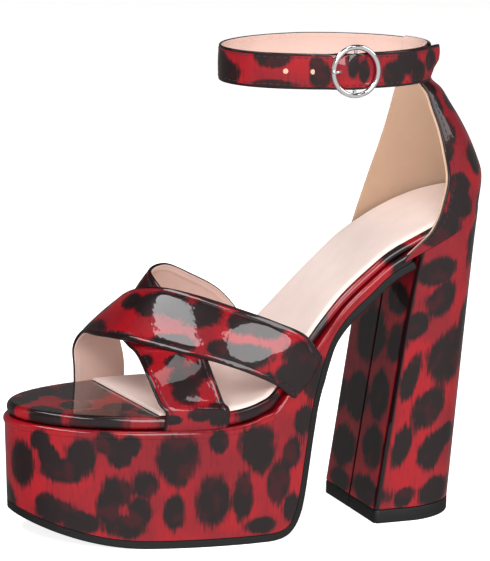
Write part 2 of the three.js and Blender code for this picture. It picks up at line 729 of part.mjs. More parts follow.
// A band between its two edges, crowned across its width, with raise lifting it off the foot
function strapSolid(rows, thickness, widen, raise, steps) {
  const front = strapEdge(rows, "front");
  const back = strapEdge(rows, "back");
  const across = 4;
  const sections = [];
  for (let i = 0; i <= steps; i++) {
    const u = i / steps;
    const edgeFront = front.getPoint(u);
    const edgeBack = back.getPoint(u);
    const over = edgeBack.clone().sub(edgeFront).normalize();
    const along = front.getTangent(u).add(back.getTangent(u));
    const out = over.clone().cross(along).normalize();
    edgeFront.addScaledVector(over, -widen);
    edgeBack.addScaledVector(over, widen);
    const lift = raise * Math.sin(Math.PI * u);
    const place = (share, offset) => edgeFront.clone().lerp(edgeBack, share)
      .addScaledVector(out, lift + offset + strapCrown * 4 * share * (1 - share));
    const shares = Array.from({ length: across + 1 }, (unused, k) => k / across);
    sections.push([
      ...shares.map((share) => place(share, thickness / 2)),
      ...shares.map((share) => place(share, -thickness / 2)).reverse(),
    ]);
  }
  return manifoldOf(loftSections(sections));
}

function vampStraps(thickness, widen) {
  const over = strapSolid(overRows, thickness, widen, overStrapRaise, 30);
  const under = strapSolid(underRows, thickness, widen, 0, 34);
  return over.add(under);
}

// Everything under the straps' ends: the platform's top, raised by the gap
function platformRoom() {
  const wide = -4 * strapThickness;
  const stations = platformColumns.map((column) => column.station).filter((station) =>
    station > 0.1 * shoeLength && station < waistEnd);
  const floor = () => -footReach;
  const top = (station) => platformTop(station) + gap;
  return manifoldOf(loftLoops([outlineLoop(stations, wide, floor), outlineLoop(stations, wide, top)]));
}

// Finishes
const patent = { color: 0xa81c26, roughness: 0.16, metalness: 0 };
const darkRubber = { color: 0x1d1c1e, roughness: 0.62, metalness: 0 };
const creamLeather = { color: 0xf3e2d8, roughness: 0.55, metalness: 0 };
const polishedSteel = { color: 0xc9cacd, roughness: 0.14, metalness: 1 };

const shoe = new THREE.Group();
function addPiece(name, geometry, finish) {
  const mesh = new THREE.Mesh(geometry, new THREE.MeshStandardMaterial(finish));
  mesh.name = name;
  shoe.add(mesh);
}

const strapRoom = geometryFrom(vampStraps(strapThickness + 2 * gap, gap));
addPiece("outsole", outsole(), darkRubber);
addPiece("platform", platform(), patent);
addPiece("footbed", footbed(strapRoom), patent);
addPiece("insole", insole(), creamLeather);
addPiece("heel_block", heelBlock(), patent);
addPiece("top_lift", topLift(), darkRubber);
const straps = largestOf(vampStraps(strapThickness, 0).subtract(platformRoom()));
addPiece("vamp_straps", geometryFrom(straps), patent);
addPiece("counter", counter(), patent);
addPiece("ankle_strap", ankleStrap(), patent);
addPiece("buckle_ring", buckleRing(), polishedSteel);
addPiece("buckle_prong", prongSolid(0), polishedSteel);

export default shoe;
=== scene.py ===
import bpy
import bmesh
import math
import numpy as np
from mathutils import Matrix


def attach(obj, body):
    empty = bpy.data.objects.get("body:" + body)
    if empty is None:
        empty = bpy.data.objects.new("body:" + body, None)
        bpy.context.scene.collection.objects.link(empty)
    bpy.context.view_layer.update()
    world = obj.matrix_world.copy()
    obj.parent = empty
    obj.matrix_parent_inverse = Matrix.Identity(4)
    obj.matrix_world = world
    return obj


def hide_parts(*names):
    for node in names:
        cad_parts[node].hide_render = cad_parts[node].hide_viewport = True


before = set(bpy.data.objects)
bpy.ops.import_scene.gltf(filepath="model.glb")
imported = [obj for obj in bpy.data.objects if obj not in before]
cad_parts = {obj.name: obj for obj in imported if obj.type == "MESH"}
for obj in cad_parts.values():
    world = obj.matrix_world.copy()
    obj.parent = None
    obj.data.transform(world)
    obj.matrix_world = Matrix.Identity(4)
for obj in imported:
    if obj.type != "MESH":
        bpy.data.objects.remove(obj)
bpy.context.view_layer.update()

# Lengths are millimetres until a mesh is made. +X points to the toe, +Y to the outer side, +Z up.
# A station is the distance back from the tip of the toe.
shoe = {
    "length": 215, "ball": 86.4, "tread": 58.4, "seatRise": 90, "instep": 44.4, "toeSpring": 10.2,
    "gap": 0.3,
}
sole = {
    "sock": 1.2, "sockInset": 4, "footbed": 5.5, "waistFootbed": 3.5, "footbedInset": 1.5,
    "waist": 4.2, "tongue": 2.4, "tongueInset": 2.8, "outsole": 3.4, "draft": 1.7, "draftDrop": 10,
    "beadHeight": 3.3, "beadDepth": 0.6,
}
heel = {
    "width": 56, "length": 44.8, "breast": 156.8, "pitch": 16.5, "lift": 6, "corner": 1.5,
    "flatShare": 0.36, "roundPower": 0.9, "seamDepth": 0.5, "seamWidth": 0.5, "liftGroove": 0.35,
    "proud": 0.4,
}
roundness = {"toe": 2.08, "seat": 2.2, "cup": 2.15}  # powers of the superellipses, 2 is a circle
places = {"springEnd": 0.233, "corner": 0.45, "waist": 0.605, "waistBlend": 0.031}  # shares of the length
length = shoe["length"]
halfBall = shoe["ball"] / 2
gap = shoe["gap"]
seatStation = 0.837 * length
seatEnd = 0.984 * length
firstStation = 0.12
lastStation = seatEnd - 0.15
blockEnd = heel["breast"] + heel["pitch"] - 1.1
noRim = 9.0  # a distance that is past the reach of any folded edge
toeApex = -0.162 * halfBall
seatApex = -0.058 * halfBall
sideSign = {"medial": -1, "lateral": 1}
degree = math.pi / 180


# A curve through rows of (place, value) that never overshoots: cubic pieces with harmonic mean slopes
def smoothCurve(rows):
    at, value = np.array(rows, float).T
    step = np.diff(value) / np.diff(at)
    product = step[:-1] * step[1:]
    total = np.where(product > 0, step[:-1] + step[1:], 1)
    slope = np.concatenate([[0], np.where(product > 0, 2 * product / total, 0), [0]])

    def curve(where):
        x = np.clip(np.asarray(where, float), at[0], at[-1])
        i = np.clip(np.searchsorted(at, x, side="right") - 1, 0, len(at) - 2)
        width = at[i + 1] - at[i]
        t = (x - at[i]) / width
        rise = value[i + 1] - value[i]
        bend = slope[i] * width * t * (1 - t) ** 2 - slope[i + 1] * width * t * t * (1 - t)
        return value[i] + rise * t * t * (3 - 2 * t) + bend
    return curve


# A straight blend: a at t = 0, b at t = 1
def mix(a, b, t):
    return a + (b - a) * t


# A rise from 0 at low to 1 at high that is flat at both ends: 3 t squared less 2 t cubed
def smoothStep(value, low, high):
    t = np.clip((value - low) / (high - low), 0, 1)
    return t * t * (3 - 2 * t)


# The same directions with length one
def unit(vectors):
    size = np.linalg.norm(vectors, axis=-1, keepdims=True)
    return vectors / np.maximum(size, 1e-9)


# Profile and outline of the last: shares of the length against shares of the rise or of half the ball
profileRise = smoothCurve([
    (0, 0), (0.33, 0), (0.4, 0.012), (0.465, 0.056), (0.512, 0.16), (0.558, 0.28), (0.605, 0.4),
    (0.651, 0.512), (0.698, 0.61), (0.744, 0.695), (0.791, 0.757), (0.837, 0.811), (0.93, 0.912),
    (1.02, 1.01)])
outlineRows = {
    "medial": [(0.326, 1), (0.465, 0.845), (0.558, 0.727), (0.651, 0.674), (0.744, 0.715),
               (0.837, 0.766)],
    "lateral": [(0.433, 1), (0.465, 0.985), (0.512, 0.9), (0.558, 0.794), (0.605, 0.715),
                (0.651, 0.676), (0.744, 0.692), (0.837, 0.731)],
}
outlineHalf = {side: smoothCurve(rows) for side, rows in outlineRows.items()}
shelfOut = smoothCurve([(0.45, 0), (0.512, 0.05), (0.558, 0.075), (0.605, 0.055), (0.67, 0)])
waistShare = smoothCurve([(0.42, 0), (0.56, 1)])
cornerHeight = smoothCurve([
    (0.48, 0), (0.503, 0.007), (0.521, 0.026), (0.535, 0.062), (0.546, 0.115), (0.555, 0.19),
    (0.563, 0.32), (0.57, 0.5), (0.579, 0.74), (0.589, 0.95), (0.6, 1.09), (0.617, 1.23), (0.636, 1.36)])


# Top of the sock: the tread plus a share of the rise
def insoleTop(station):
    return shoe["tread"] + shoe["seatRise"] * profileRise(station / length)


# A level some way under the top of the sock, measured square to its slope
def below(station, depth):
    slope = (insoleTop(station + 1.5) - insoleTop(station - 1.5)) / 3
    return insoleTop(station) - depth * np.hypot(1, slope)


# How deep the footbed's underside lies: it is thinner behind the waist than in front
def bedBottomDepth(station):
    return sole["sock"] + gap + mix(sole["footbed"], sole["waistFootbed"], waistShare(station / length))


# The tops of the platform and of the heel, each a clearance under what stands on it
def platformTop(station):
    return below(station, bedBottomDepth(station) + gap)


def heelTop(station):
    return below(station, bedBottomDepth(station) + 2 * gap + sole["tongue"])


# Lower face of the outsole: toe spring, flat tread, round back corner, waist
def outsoleBottom(station):
    share = station / length
    spring = shoe["toeSpring"] * np.clip(1 - share / places["springEnd"], 0, 1) ** 2
    depth = bedBottomDepth(station) + 2 * gap + sole["waist"] + sole["outsole"]
    corner = shoe["tread"] * cornerHeight(share)
    onWaist = np.clip((share - places["waist"]) / places["waistBlend"], 0, 1)
    behind = mix(corner, below(station, depth), onWaist)
    return np.where(share < places["springEnd"], spring, behind)


# The same face moved up into the sole by some thickness: the moved stations and their heights
def raisedSole(station, thickness):
    slope = (outsoleBottom(station + 0.4) - outsoleBottom(station - 0.4)) / 0.8
    run = np.hypot(1, slope)
    ahead = station < places["corner"] * length
    height = outsoleBottom(station) + np.where(ahead, thickness * run, thickness / run)
    return station - np.where(ahead, 0, thickness * slope / run), height


# How far the wall stands in at a height: the draft at the floor, nothing above the draft drop
def draftAt(height):
    return sole["draft"] * np.clip(1 - height / (shoe["tread"] - sole["draftDrop"]), 0, 1)


# Half width of the outline: a superellipse round the toe, the table, a superellipse round the seat
def halfWidth(side, station, inset):
    ball = outlineRows[side][0][0] * length
    apex = toeApex * sideSign[side]
    back = seatApex * sideSign[side]
    t = np.clip(1 - (station - inset) / (ball - inset), 0, 1)
    toe = apex + (halfBall - inset - apex) * np.sqrt(1 - t ** roundness["toe"])
    half = halfBall * outlineHalf[side](station / length) - inset
    t = np.clip((station - seatStation) / (seatEnd - inset - seatStation), 0, 1)
    rear = back + (half - back) * np.sqrt(1 - t ** roundness["seat"])
    return np.where(station < ball, toe, rear)


# Points of the outline on one side, moved in by an inset at both ends too; height is worked out there
def outlineSide(side, station, inset, height, shelf=1.0):
    ends = np.clip(1 - station / (outlineRows["medial"][0][0] * length), 0, 1)
    ends = ends - np.clip((station - seatStation) / (seatEnd - seatStation), 0, 1)
    moved = station + inset * ends
    half = halfWidth(side, moved, inset)
    if side == "lateral":
        half = half + shelf * halfBall * shelfOut(station / length)
    z = height(moved) if callable(height) else height
    return np.stack([length / 2 - moved, sideSign[side] * half, z + 0 * moved], -1)


# One closed loop of the outline: back along the outer side, forward along the inner side
def outlineLoop(station, inset, height, shelf=1.0):
    lateral = outlineSide("lateral", station, inset, height, shelf)
    medial = outlineSide("medial", station, inset, height, shelf)
    return np.concatenate([lateral, medial[::-1]])


# Fine stations, close together where the outline turns
def stationsOver(first, last, step=1.15):
    toeEnd = 0.23 * length
    toe = mix(firstStation, toeEnd, np.linspace(0, 1, 56, endpoint=False) ** 2.1)
    middle = np.arange(toeEnd, seatStation, step)
    seat = mix(seatStation, lastStation, 1 - (1 - np.linspace(0, 1, 48)) ** 2)
    every = np.concatenate([toe, middle, seat])
    inside = every[(every > first + 0.2) & (every < last - 0.2)]
    return np.concatenate([[first], inside, [last]])


# Quads of a grid of rows and columns, closed round its columns where asked
def gridFaces(rows, columns, start=0, closed=False):
    r = np.arange(rows - 1)[:, None]
    c = np.arange(columns if closed else columns - 1)[None, :]
    n = (c + 1) % columns
    here, above = r * columns, (r + 1) * columns
    quads = np.stack([here + c, here + n, above + n, above + c], -1)
    return quads.reshape(-1, 4) + start


# Angles spread evenly round a circle
def circle(count):
    return np.linspace(0, 2 * math.pi, count, endpoint=False)


# A stack of closed loops with a cap at each end, a grid from each point to the one across from it
def loftLoops(loops, across=2):
    count = loops[0].shape[0]
    parts = [np.concatenate(loops)]
    faces = [gridFaces(len(loops), count, 0, True)]
    start = len(parts[0])
    for loop in (loops[0], loops[-1]):
        t = np.linspace(0, 1, across + 1)[None, :, None]
        near = loop[: count // 2, None]
        far = loop[::-1][: count // 2, None]
        parts.append(mix(near, far, t).reshape(-1, 3))
        faces.append(gridFaces(count // 2, across + 1, start))
        start += len(parts[-1])
    return np.concatenate(parts), np.concatenate(faces)


# Grids of one size joined face to face round a closed section, with their two ends capped by strips
def loftSections(sections):
    rows, count = sections.shape[:2]
    strip = np.arange(count // 2 - 1)
    far = count - 1 - strip
    start = np.stack([strip, far, far - 1, strip + 1], -1)
    end = start[:, ::-1] + (rows - 1) * count
    return sections.reshape(-1, 3), np.concatenate([gridFaces(rows, count, 0, True), start, end])


# Normals of a grid of points: the cross product of its two directions
def gridNormals(grid):
    return unit(np.cross(np.gradient(grid, axis=0), np.gradient(grid, axis=1)))


# The same normals, all turned so that the one of a row and column goes along a direction
def facingNormals(grid, row, column, direction):
    out = gridNormals(grid)
    return out * np.sign(np.dot(out[row, column], direction))


# A sheet with thickness and a round edge: two faces beside the middle grid, joined round its border by
# a half circle. Also gives each point's distance across its row from the nearer of its first and last
# columns.
def sheetSolid(grid, thickness, lift=0.0, normals=None, ringCount=5):
    rows, columns = grid.shape[:2]
    out = gridNormals(grid) if normals is None else normals
    middle = grid + out * lift
    index = np.arange(rows * columns).reshape(rows, columns)
    border = np.concatenate([index[0, :-1], index[:-1, -1], index[-1, :0:-1], index[:0:-1, 0]])
    inner = index[1:-1, 1:-1]
    inner = np.pad(inner, 1, mode="edge")
    innerOf = np.concatenate([inner[0, :-1], inner[:-1, -1], inner[-1, :0:-1], inner[:0:-1, 0]])
    flatPoints = middle.reshape(-1, 3)
    flatOut = out.reshape(-1, 3)
    away = unit(flatPoints[border] - flatPoints[innerOf])
    size = rows * columns
    parts = [flatPoints + flatOut * thickness / 2, flatPoints - flatOut * thickness / 2]
    angles = np.linspace(math.pi / 2, -math.pi / 2, ringCount + 2)[1:-1]
    for angle in angles:
        edge = away * math.cos(angle) + flatOut[border] * math.sin(angle)
        parts.append(flatPoints[border] + edge * thickness / 2)
    faces = [gridFaces(rows, columns), gridFaces(rows, columns, size)[:, ::-1]]
    chain = [border] + [2 * size + k * len(border) + np.arange(len(border)) for k in range(ringCount)]
    chain.append(border + size)
    for a, b in zip(chain[:-1], chain[1:]):
        faces.append(np.stack([a, b, np.roll(b, -1), np.roll(a, -1)], -1))
    across = np.linalg.norm(np.diff(middle, axis=1), axis=2).cumsum(1)
    across = np.pad(across, ((0, 0), (1, 0)))
    nearest = np.minimum(across, across[:, -1:] - across)
    rim = np.concatenate([nearest.ravel(), nearest.ravel(), np.zeros(ringCount * len(border))])
    return np.concatenate(parts), np.concatenate(faces), rim


# A round tube along a path: circles square to it, set against one fixed direction, with domed ends
def tubeAlong(path, radius, sides=16):
    ahead = unit(np.gradient(path, axis=0))
    side = unit(np.cross(ahead, [0.13, 0.21, 0.97]))
    up = np.cross(side, ahead)
    angle = circle(sides)[None, :, None]
    ring = side[:, None] * np.cos(angle) + up[:, None] * np.sin(angle)
    dome = np.linspace(0, math.pi / 2, 5)[1:-1]
    head = [path[:1, None] - ahead[:1, None] * radius * math.sin(a) + ring[:1] * radius * math.cos(a)
            for a in dome[::-1]]
    tail = [path[-1:, None] + ahead[-1:, None] * radius * math.sin(a) + ring[-1:] * radius * math.cos(a)
            for a in dome]
    grid = np.concatenate(head + [path[:, None] + ring * radius] + tail)
    return loftSections(grid)


# Print, edges and materials
print("materials")
# The lining kid is one leather in two colours: its own colour painted darker and tan with the shade
# inside the heel cup, and paler and pinker as it looks lit
palette = {
    "red": "#7A0F1B", "brightRed": "#950C18", "deepRed": "#4A0912", "ink": "#1B0F11",
    "warmInk": "#38090F", "foldedEdge": "#1B090C", "lining": "#C8A78E", "litLining": "#D4B3A8",
    "sock": "#F1DDD5", "rubber": "#0D0D0E", "steel": "#F2F2F4", "darkThread": "#241416",
    "paleThread": "#C79F87",
}


# The real colour of an sRGB hex value: each channel by the standard's two-part curve
def linear(hexValue):
    channels = [int(hexValue[i:i + 2], 16) / 255 for i in (1, 3, 5)]
    return [c / 12.92 if c <= 0.04045 else ((c + 0.055) / 1.055) ** 2.4 for c in channels] + [1]


# A colour made lighter or darker by a factor
def toned(colour, factor):
    return [min(1, c * factor) for c in colour[:3]] + [1]


# Adds a node with its settings, its values and its links, and gives back one of its outputs
def addNode(tree, kind, inputs, give=0, **settings):
    node = tree.nodes.new(kind)
    for name, value in settings.items():
        setattr(node, name, value)
    for name, value in inputs.items():
        if isinstance(value, bpy.types.NodeSocket):
            tree.links.new(value, node.inputs[name])
        else:
            node.inputs[name].default_value = value
    return node.outputs[give] if len(node.outputs) else None


# Lays colours over a first one: each comes in as its measure goes from one value to another, between
# a first and a last strength
def layColours(tree, colour, layers):
    for measure, start, end, first, last, over in layers:
        share = addNode(tree, "ShaderNodeMapRange", {
            "Value": measure, "From Min": start, "From Max": end, "To Min": first, "To Max": last},
            interpolation_type="SMOOTHSTEP")
        colour = addNode(tree, "ShaderNodeMix", {0: share, 6: colour, 7: over}, 2, data_type="RGBA")
    return colour


# An empty material, with its tree and the coordinates of the piece it is on
def newMaterial(name):
    material = bpy.data.materials.new(name)
    material.use_nodes = True
    material.node_tree.nodes.clear()
    tree = material.node_tree
    return material, tree, addNode(tree, "ShaderNodeTexCoord", {}, "Object")


# Ends a material with a principled shader of these settings
def finishMaterial(tree, settings):
    shader = addNode(tree, "ShaderNodeBsdfPrincipled", settings)
    addNode(tree, "ShaderNodeOutputMaterial", {"Surface": shader})


def perMillimetre(size):
    return 1000 / size  # cycles a metre for a grain of this many millimetres


# Printed patent leather: a split hide under a thick clear polyurethane film, so the print stays soft
# at its hairy edges while the surface mirrors the room. The hairs of the print run up and down.
# First the grains in millimetres, then where along the ink a spot and its dim border set in
patent = {
    "hair": 1.1, "wander": 8, "dye": 22, "warmth": 9, "peel": 3.2, "hairSquash": 0.16, "ripple": 0.9,
    "ragged": 0.6, "spot": (0.44, 0.72), "border": (0.3, 0.58), "borderStrength": 0.75, "gloss": 0.05,
}


def patentLeather(name):
    material, tree, place = newMaterial(name)
    ink = addNode(tree, "ShaderNodeAttribute", {}, "Fac", attribute_name="ink")
    rim = addNode(tree, "ShaderNodeAttribute", {}, "Fac", attribute_name="rim")
    drawn = addNode(tree, "ShaderNodeMapping", {"Vector": place, "Scale": (1, 1, patent["hairSquash"])})
    noise = {}
    for key, detail in (("hair", 2), ("wander", 2), ("dye", 1), ("warmth", 1), ("peel", 1)):
        noise[key] = addNode(tree, "ShaderNodeTexNoise", {
            "Vector": drawn if key == "hair" else place, "Scale": perMillimetre(patent[key]),
            "Detail": detail})
    edge = ink
    for key in ("hair", "wander"):
        edge = addNode(tree, "ShaderNodeMath", {0: noise[key], 1: patent["ragged"], 2: edge},
                       operation="MULTIPLY_ADD")
    colours = {key: linear(palette[key]) for key in palette}
    black = layColours(tree, colours["ink"], [(noise["warmth"], 0.52, 0.72, 0, 0.85, colours["warmInk"])])
    colour = layColours(tree, colours["red"], [
        (noise["dye"], 0.35, 0.65, 0, 1, colours["brightRed"]),
        (noise["hair"], 0.52, 0.75, 0, 0.35, colours["deepRed"]),
        (edge, *patent["border"], 0, patent["borderStrength"], colours["deepRed"]),
        (edge, *patent["spot"], 0, 1, black),
        (rim, 0.45, 0.95, 1, 0, colours["foldedEdge"]),                   # ink on the folded edges
    ])
    peel = addNode(tree, "ShaderNodeBump", {
        "Height": noise["peel"], "Strength": patent["ripple"], "Distance": 0.00006})
    finishMaterial(tree, {
        "Base Color": colour, "Roughness": 0.4, "IOR": 1.5, "Specular IOR Level": 0.1, "Normal": peel,
        "Coat Weight": 1.0, "Coat Roughness": patent["gloss"], "Coat IOR": 1.42, "Coat Normal": peel})
    return material


# A plain material. Noise of a grain in millimetres clouds its colour towards another tone and spreads
# its gloss. Pores, or else the noise, give it a relief in metres.
def plainMaterial(name, colour, gloss, grain, detail, tone=1, tones=(0.3, 0.7), pores=None, relief=None,
                  squash=1, **settings):
    material, tree, place = newMaterial(name)
    place = addNode(tree, "ShaderNodeMapping", {"Vector": place, "Scale": (1, 1, squash)})
    cloud = addNode(tree, "ShaderNodeTexNoise", {
        "Vector": place, "Scale": perMillimetre(grain), "Detail": detail})
    spread = addNode(tree, "ShaderNodeMapRange", {
        "Value": cloud, "From Min": 0.3, "From Max": 0.7, "To Min": gloss[0], "To Max": gloss[1]},
        interpolation_type="SMOOTHSTEP")
    if relief:
        height = cloud
        if pores:
            height = addNode(tree, "ShaderNodeTexVoronoi", {
                "Vector": place, "Scale": perMillimetre(pores)}, "Distance")
        settings["Normal"] = addNode(tree, "ShaderNodeBump", {
            "Height": height, "Strength": 0.5, "Distance": relief})
    base = linear(palette[colour])
    colour = layColours(tree, base, [(cloud, *tones, 0, 1, toned(base, tone))])
    finishMaterial(tree, {"Base Color": colour, "Roughness": spread, **settings})
    return material


# Twisted polyester thread: the ply shows as a fine slanting ripple, its ridges painted lighter as a sheen
def sewingThread(name, colour):
    material, tree, place = newMaterial(name)
    ply = addNode(tree, "ShaderNodeTexWave", {
        "Vector": place, "Scale": perMillimetre(0.5), "Distortion": 1.0}, 1)
    bump = addNode(tree, "ShaderNodeBump", {"Height": ply, "Strength": 0.6, "Distance": 0.00005})
    base = linear(palette[colour])
    # Colour painted lighter on the ridges of the ply: a painted sheen
    sheenPaintedColour = addNode(tree, "ShaderNodeMix", {0: ply, 6: base, 7: toned(base, 1.6)}, 2, data_type="RGBA")
    finishMaterial(tree, {"Base Color": sheenPaintedColour, "Roughness": 0.55, "Normal": bump})
    return material


# Lining kid and sock leather: fine pores, a satin finish, faint clouds in the dye
leather = {"grain": 14, "detail": 2, "tone": 0.95, "pores": 0.9, "relief": 0.00004, "IOR": 1.45}
# Moulded rubber of the outsole and top lift: dull black with a fine mould texture
moulded = {"grain": 0.7, "detail": 3, "tone": 1.5, "tones": (0.45, 0.75), "relief": 0.00005, "IOR": 1.5}
# Nickel-plated die-cast metal of the buckle, polished, with faint wipe marks in its gloss
plated = {"grain": 1.4, "detail": 2, "squash": 0.2, "Metallic": 1.0}
finishes = {
    "print": patentLeather("printedPatentLeather"),
    # The lining kid twice: once with the shade inside the heel cup painted in, once painted as lit
    "lining": plainMaterial("shadedLiningKid", "lining", (0.46, 0.54), **leather),
    "litLining": plainMaterial("litLiningKid", "litLining", (0.46, 0.54), **leather),
    "sock": plainMaterial("sockLeather", "sock", (0.42, 0.5), **leather),
    "rubber": plainMaterial("mouldedRubber", "rubber", (0.42, 0.6), **moulded),
    "metal": plainMaterial("nickelPlate", "steel", (0.06, 0.14), **plated),
    "darkThread": sewingThread("darkThread", "darkThread"),
    "paleThread": sewingThread("paleThread", "paleThread"),
}

# The print: each spot is its middle, its reach across and its reach up. One of next to no size keeps
# the other spots away.
spots = {
    "platformCover": [
        (104, 5, 33, 6.6, 9), (98, 14, 45, 4.5, 4.2), (96, 17, 39, 4.3, 5.4), (90, 21, 33, 9.8, 4.8),
        (84, 26, 40, 6, 7), (75, 31, 46, 4.6, 4.8), (66, 35, 45, 4.6, 4.8), (70, 33, 41, 4.8, 5),
        (46, 39, 40, 8.4, 9), (46, 39, 35, 5, 8), (29, 42, 46, 3.9, 4.8), (12, 42, 44, 7.9, 7.6),
        (10, 42, 38, 4.6, 7), (-11, 37, 51, 5.1, 5.7), (-5, 39, 38, 4.6, 6.6), (1, 40, 26, 5.2, 8.8),
        (-6, 38, 14, 4.6, 5.8), (9, 41, 8, 6.1, 3.5), (31, 41, 20, 6.6, 10.6), (18, 42, 21, 4.2, 9.7),
        (47, 39, 16, 4.2, 7), (70, 32, 25, 5.8, 6.3), (59, 36, 28, 5, 5.6), (74, 31, 18, 4.6, 6.5),
        (67, 33, 10, 7.9, 4.6), (61, 35, 17, 4.6, 6), (96, 15, 18, 4.6, 4.4), (93, 18, 15, 8.3, 4.8),
        (84, 25, 11, 7.3, 4.4), (-30, 29, 93, 0.1, 0.1), (-45, 30, 105, 0.1, 0.1), (-59, 31, 114, 6, 5)],
    "heelCover": [
        (-75, 30, 111, 7.6, 5.4), (-78, 28, 98, 5.8, 6.7), (-66, 29, 87, 5.2, 4.9),
        (-84, 26, 73, 10.6, 10.1), (-64, 28, 64, 3.3, 8.9), (-74, 28, 50, 6.9, 7.7),
        (-85, 23, 37, 7, 4.2), (-61, 28, 34, 3.8, 7.6), (-76, 27, 31, 6, 7.3),
        (-80, 24, 12, 8.1, 5.6), (-63, 28, 11, 3.8, 3.6), (-62, 17, 97, 8.8, 5.7),
        (-60, -4, 77, 12.2, 10.8), (-55, -8, 49, 10.2, 8.7), (-56, 14, 54, 7.9, 9.4),
        (-52, -14, 25, 10.4, 7.9), (-53, 16, 32, 8.9, 8.1), (-50, 15, 12, 11.9, 4.9),
        (-50, -12, 10, 8.3, 4.1), (-60, 21, 78, 5.8, 7.3), (-58, 4, 121, 16, 9)],
    "strapOver": [
        (46, -1, 97, 5.2, 3.4), (43, 3, 101, 4.2, 2.4), (38, 8, 98, 6, 3.6), (29, 18, 96, 6.4, 4),
        (14, 28, 93, 4.8, 3.4), (5, 33, 92, 6.3, 3.5), (41, 18, 84, 7, 2.4), (24, 30, 83, 5, 2.4),
        (15, 35, 80, 8, 3.6), (-9, 40, 78, 6.3, 5.6), (-4, 42, 71, 5.6, 5.2), (59, -1, 83, 7.4, 1.9),
        (65, -21, 82, 7.4, 4), (51, -11, 97, 4.1, 2.6), (7, 39, 70, 3, 2.4)],
    "strapUnder": [
        (43, -16, 103, 5.5, 3), (55, 18, 77, 3.2, 3.4), (43, 25, 78, 3.4, 2.8), (41, 32, 72, 5, 4),
        (33, 31, 75, 3.4, 3.4), (42, 37, 66, 4, 3.2), (29, 42, 58, 4, 4), (37, 42, 58, 4, 2.2),
        (49, 40, 56, 2.9, 1.6)],
    "counterCover": [
        (-75, 15, 187, 2.8, 6), (-77, 18, 179, 3, 5), (-80, 21, 169, 4.6, 6.4), (-79, 24, 162, 4, 4),
        (-87, 12, 184, 4, 6), (-95, 17, 157, 5, 6), (-85, 28, 148, 5.4, 4.4), (-85, 29, 139, 6.4, 5),
        (-77, 32, 131, 7, 5.2), (-71, 32, 127, 5, 4)],
    "ankleBand": [
        (15, 4, 196, 7, 5), (15, -1, 202, 5, 3), (1, 23, 204, 6.4, 3.6), (0, 23, 192.5, 7.4, 2),
        (-17, 32, 197, 3.8, 4.6), (-16, 31, 202, 2.8, 2.4), (-30, 36, 202, 2.4, 5),
        (-35, 36, 199, 2.4, 4.6),
        (-51, 32, 197, 5, 5.6), (-59, 29, 202, 6, 4.6), (-65, 25, 196, 4.4, 5), (-74, 19, 201, 4.4, 4)],
    "footbedCover": [
        (66, -24, 57, 7.4, 3), (72, -12, 57, 7, 3), (64, 14, 57, 4.4, 3), (80, 6, 57, 4.6, 3),
        (-30, 27, 97, 0.1, 0.1), (-45, 28, 109, 0.1, 0.1), (-58, 29, 118, 6, 3)],
}


# More spots over the places that no chart covers: points picked by chance, kept where they stand far
# enough from every other spot, each with a smaller one beside it
def scatterSpots(points, charted, seed, spacing=16.5, clear=18.0, size=6.2):
    chance = np.random.default_rng(seed)
    picked = points[chance.integers(0, len(points), 1500)]
    fixed = np.array([row[:3] for row in charted]).reshape(-1, 3)
    if len(fixed):
        near = np.linalg.norm(picked[:, None] - fixed[None], axis=2).min(1)
        picked = picked[near > clear]
    kept = []
    for point in picked:
        if all(np.linalg.norm(point - other) > spacing for other in kept):
            kept.append(point)
    rows = []
    for point in kept:
        across, up = size * chance.uniform(0.8, 1.25, 2)
        rows.append((*point, across, up * 1.25))
        shift = chance.uniform(-1, 1, 3) * size * 1.15
        rows.append((*(point + shift), across * 0.62, up * 0.8))
    return rows


# Ink at each point: one less the distance in radii from a spot, joined softly over all the spots.
# Grow makes the spots larger, slant leans them, and a sharper join keeps neighbours apart.
def inkAt(points, rows, grow, slant, sharp=12):
    total = np.full(len(points), 1e-9)
    for x, y, z, across, up in rows:
        high = points[:, 2] - z
        flat = (points[:, 0] - x + slant * high) ** 2 + (points[:, 1] - y) ** 2
        reach = np.sqrt(flat / (across * grow) ** 2 + (high / (up * grow)) ** 2)
        total += np.exp(sharp * np.clip(1 - reach, -3, 1))
    return np.log(total) / sharp


# Adds an object to the scene, at a place in metres with its three axes where they are given
def addObject(name, data, axes=None, at=None):
    item = bpy.data.objects.new(name, data)
    if axes is not None:
        matrix = np.eye(4)
        matrix[:3, :3] = np.stack(axes, 1)
        matrix[:3, 3] = at
        item.matrix_world = matrix.T.tolist()
    bpy.context.scene.collection.objects.link(item)
    return item


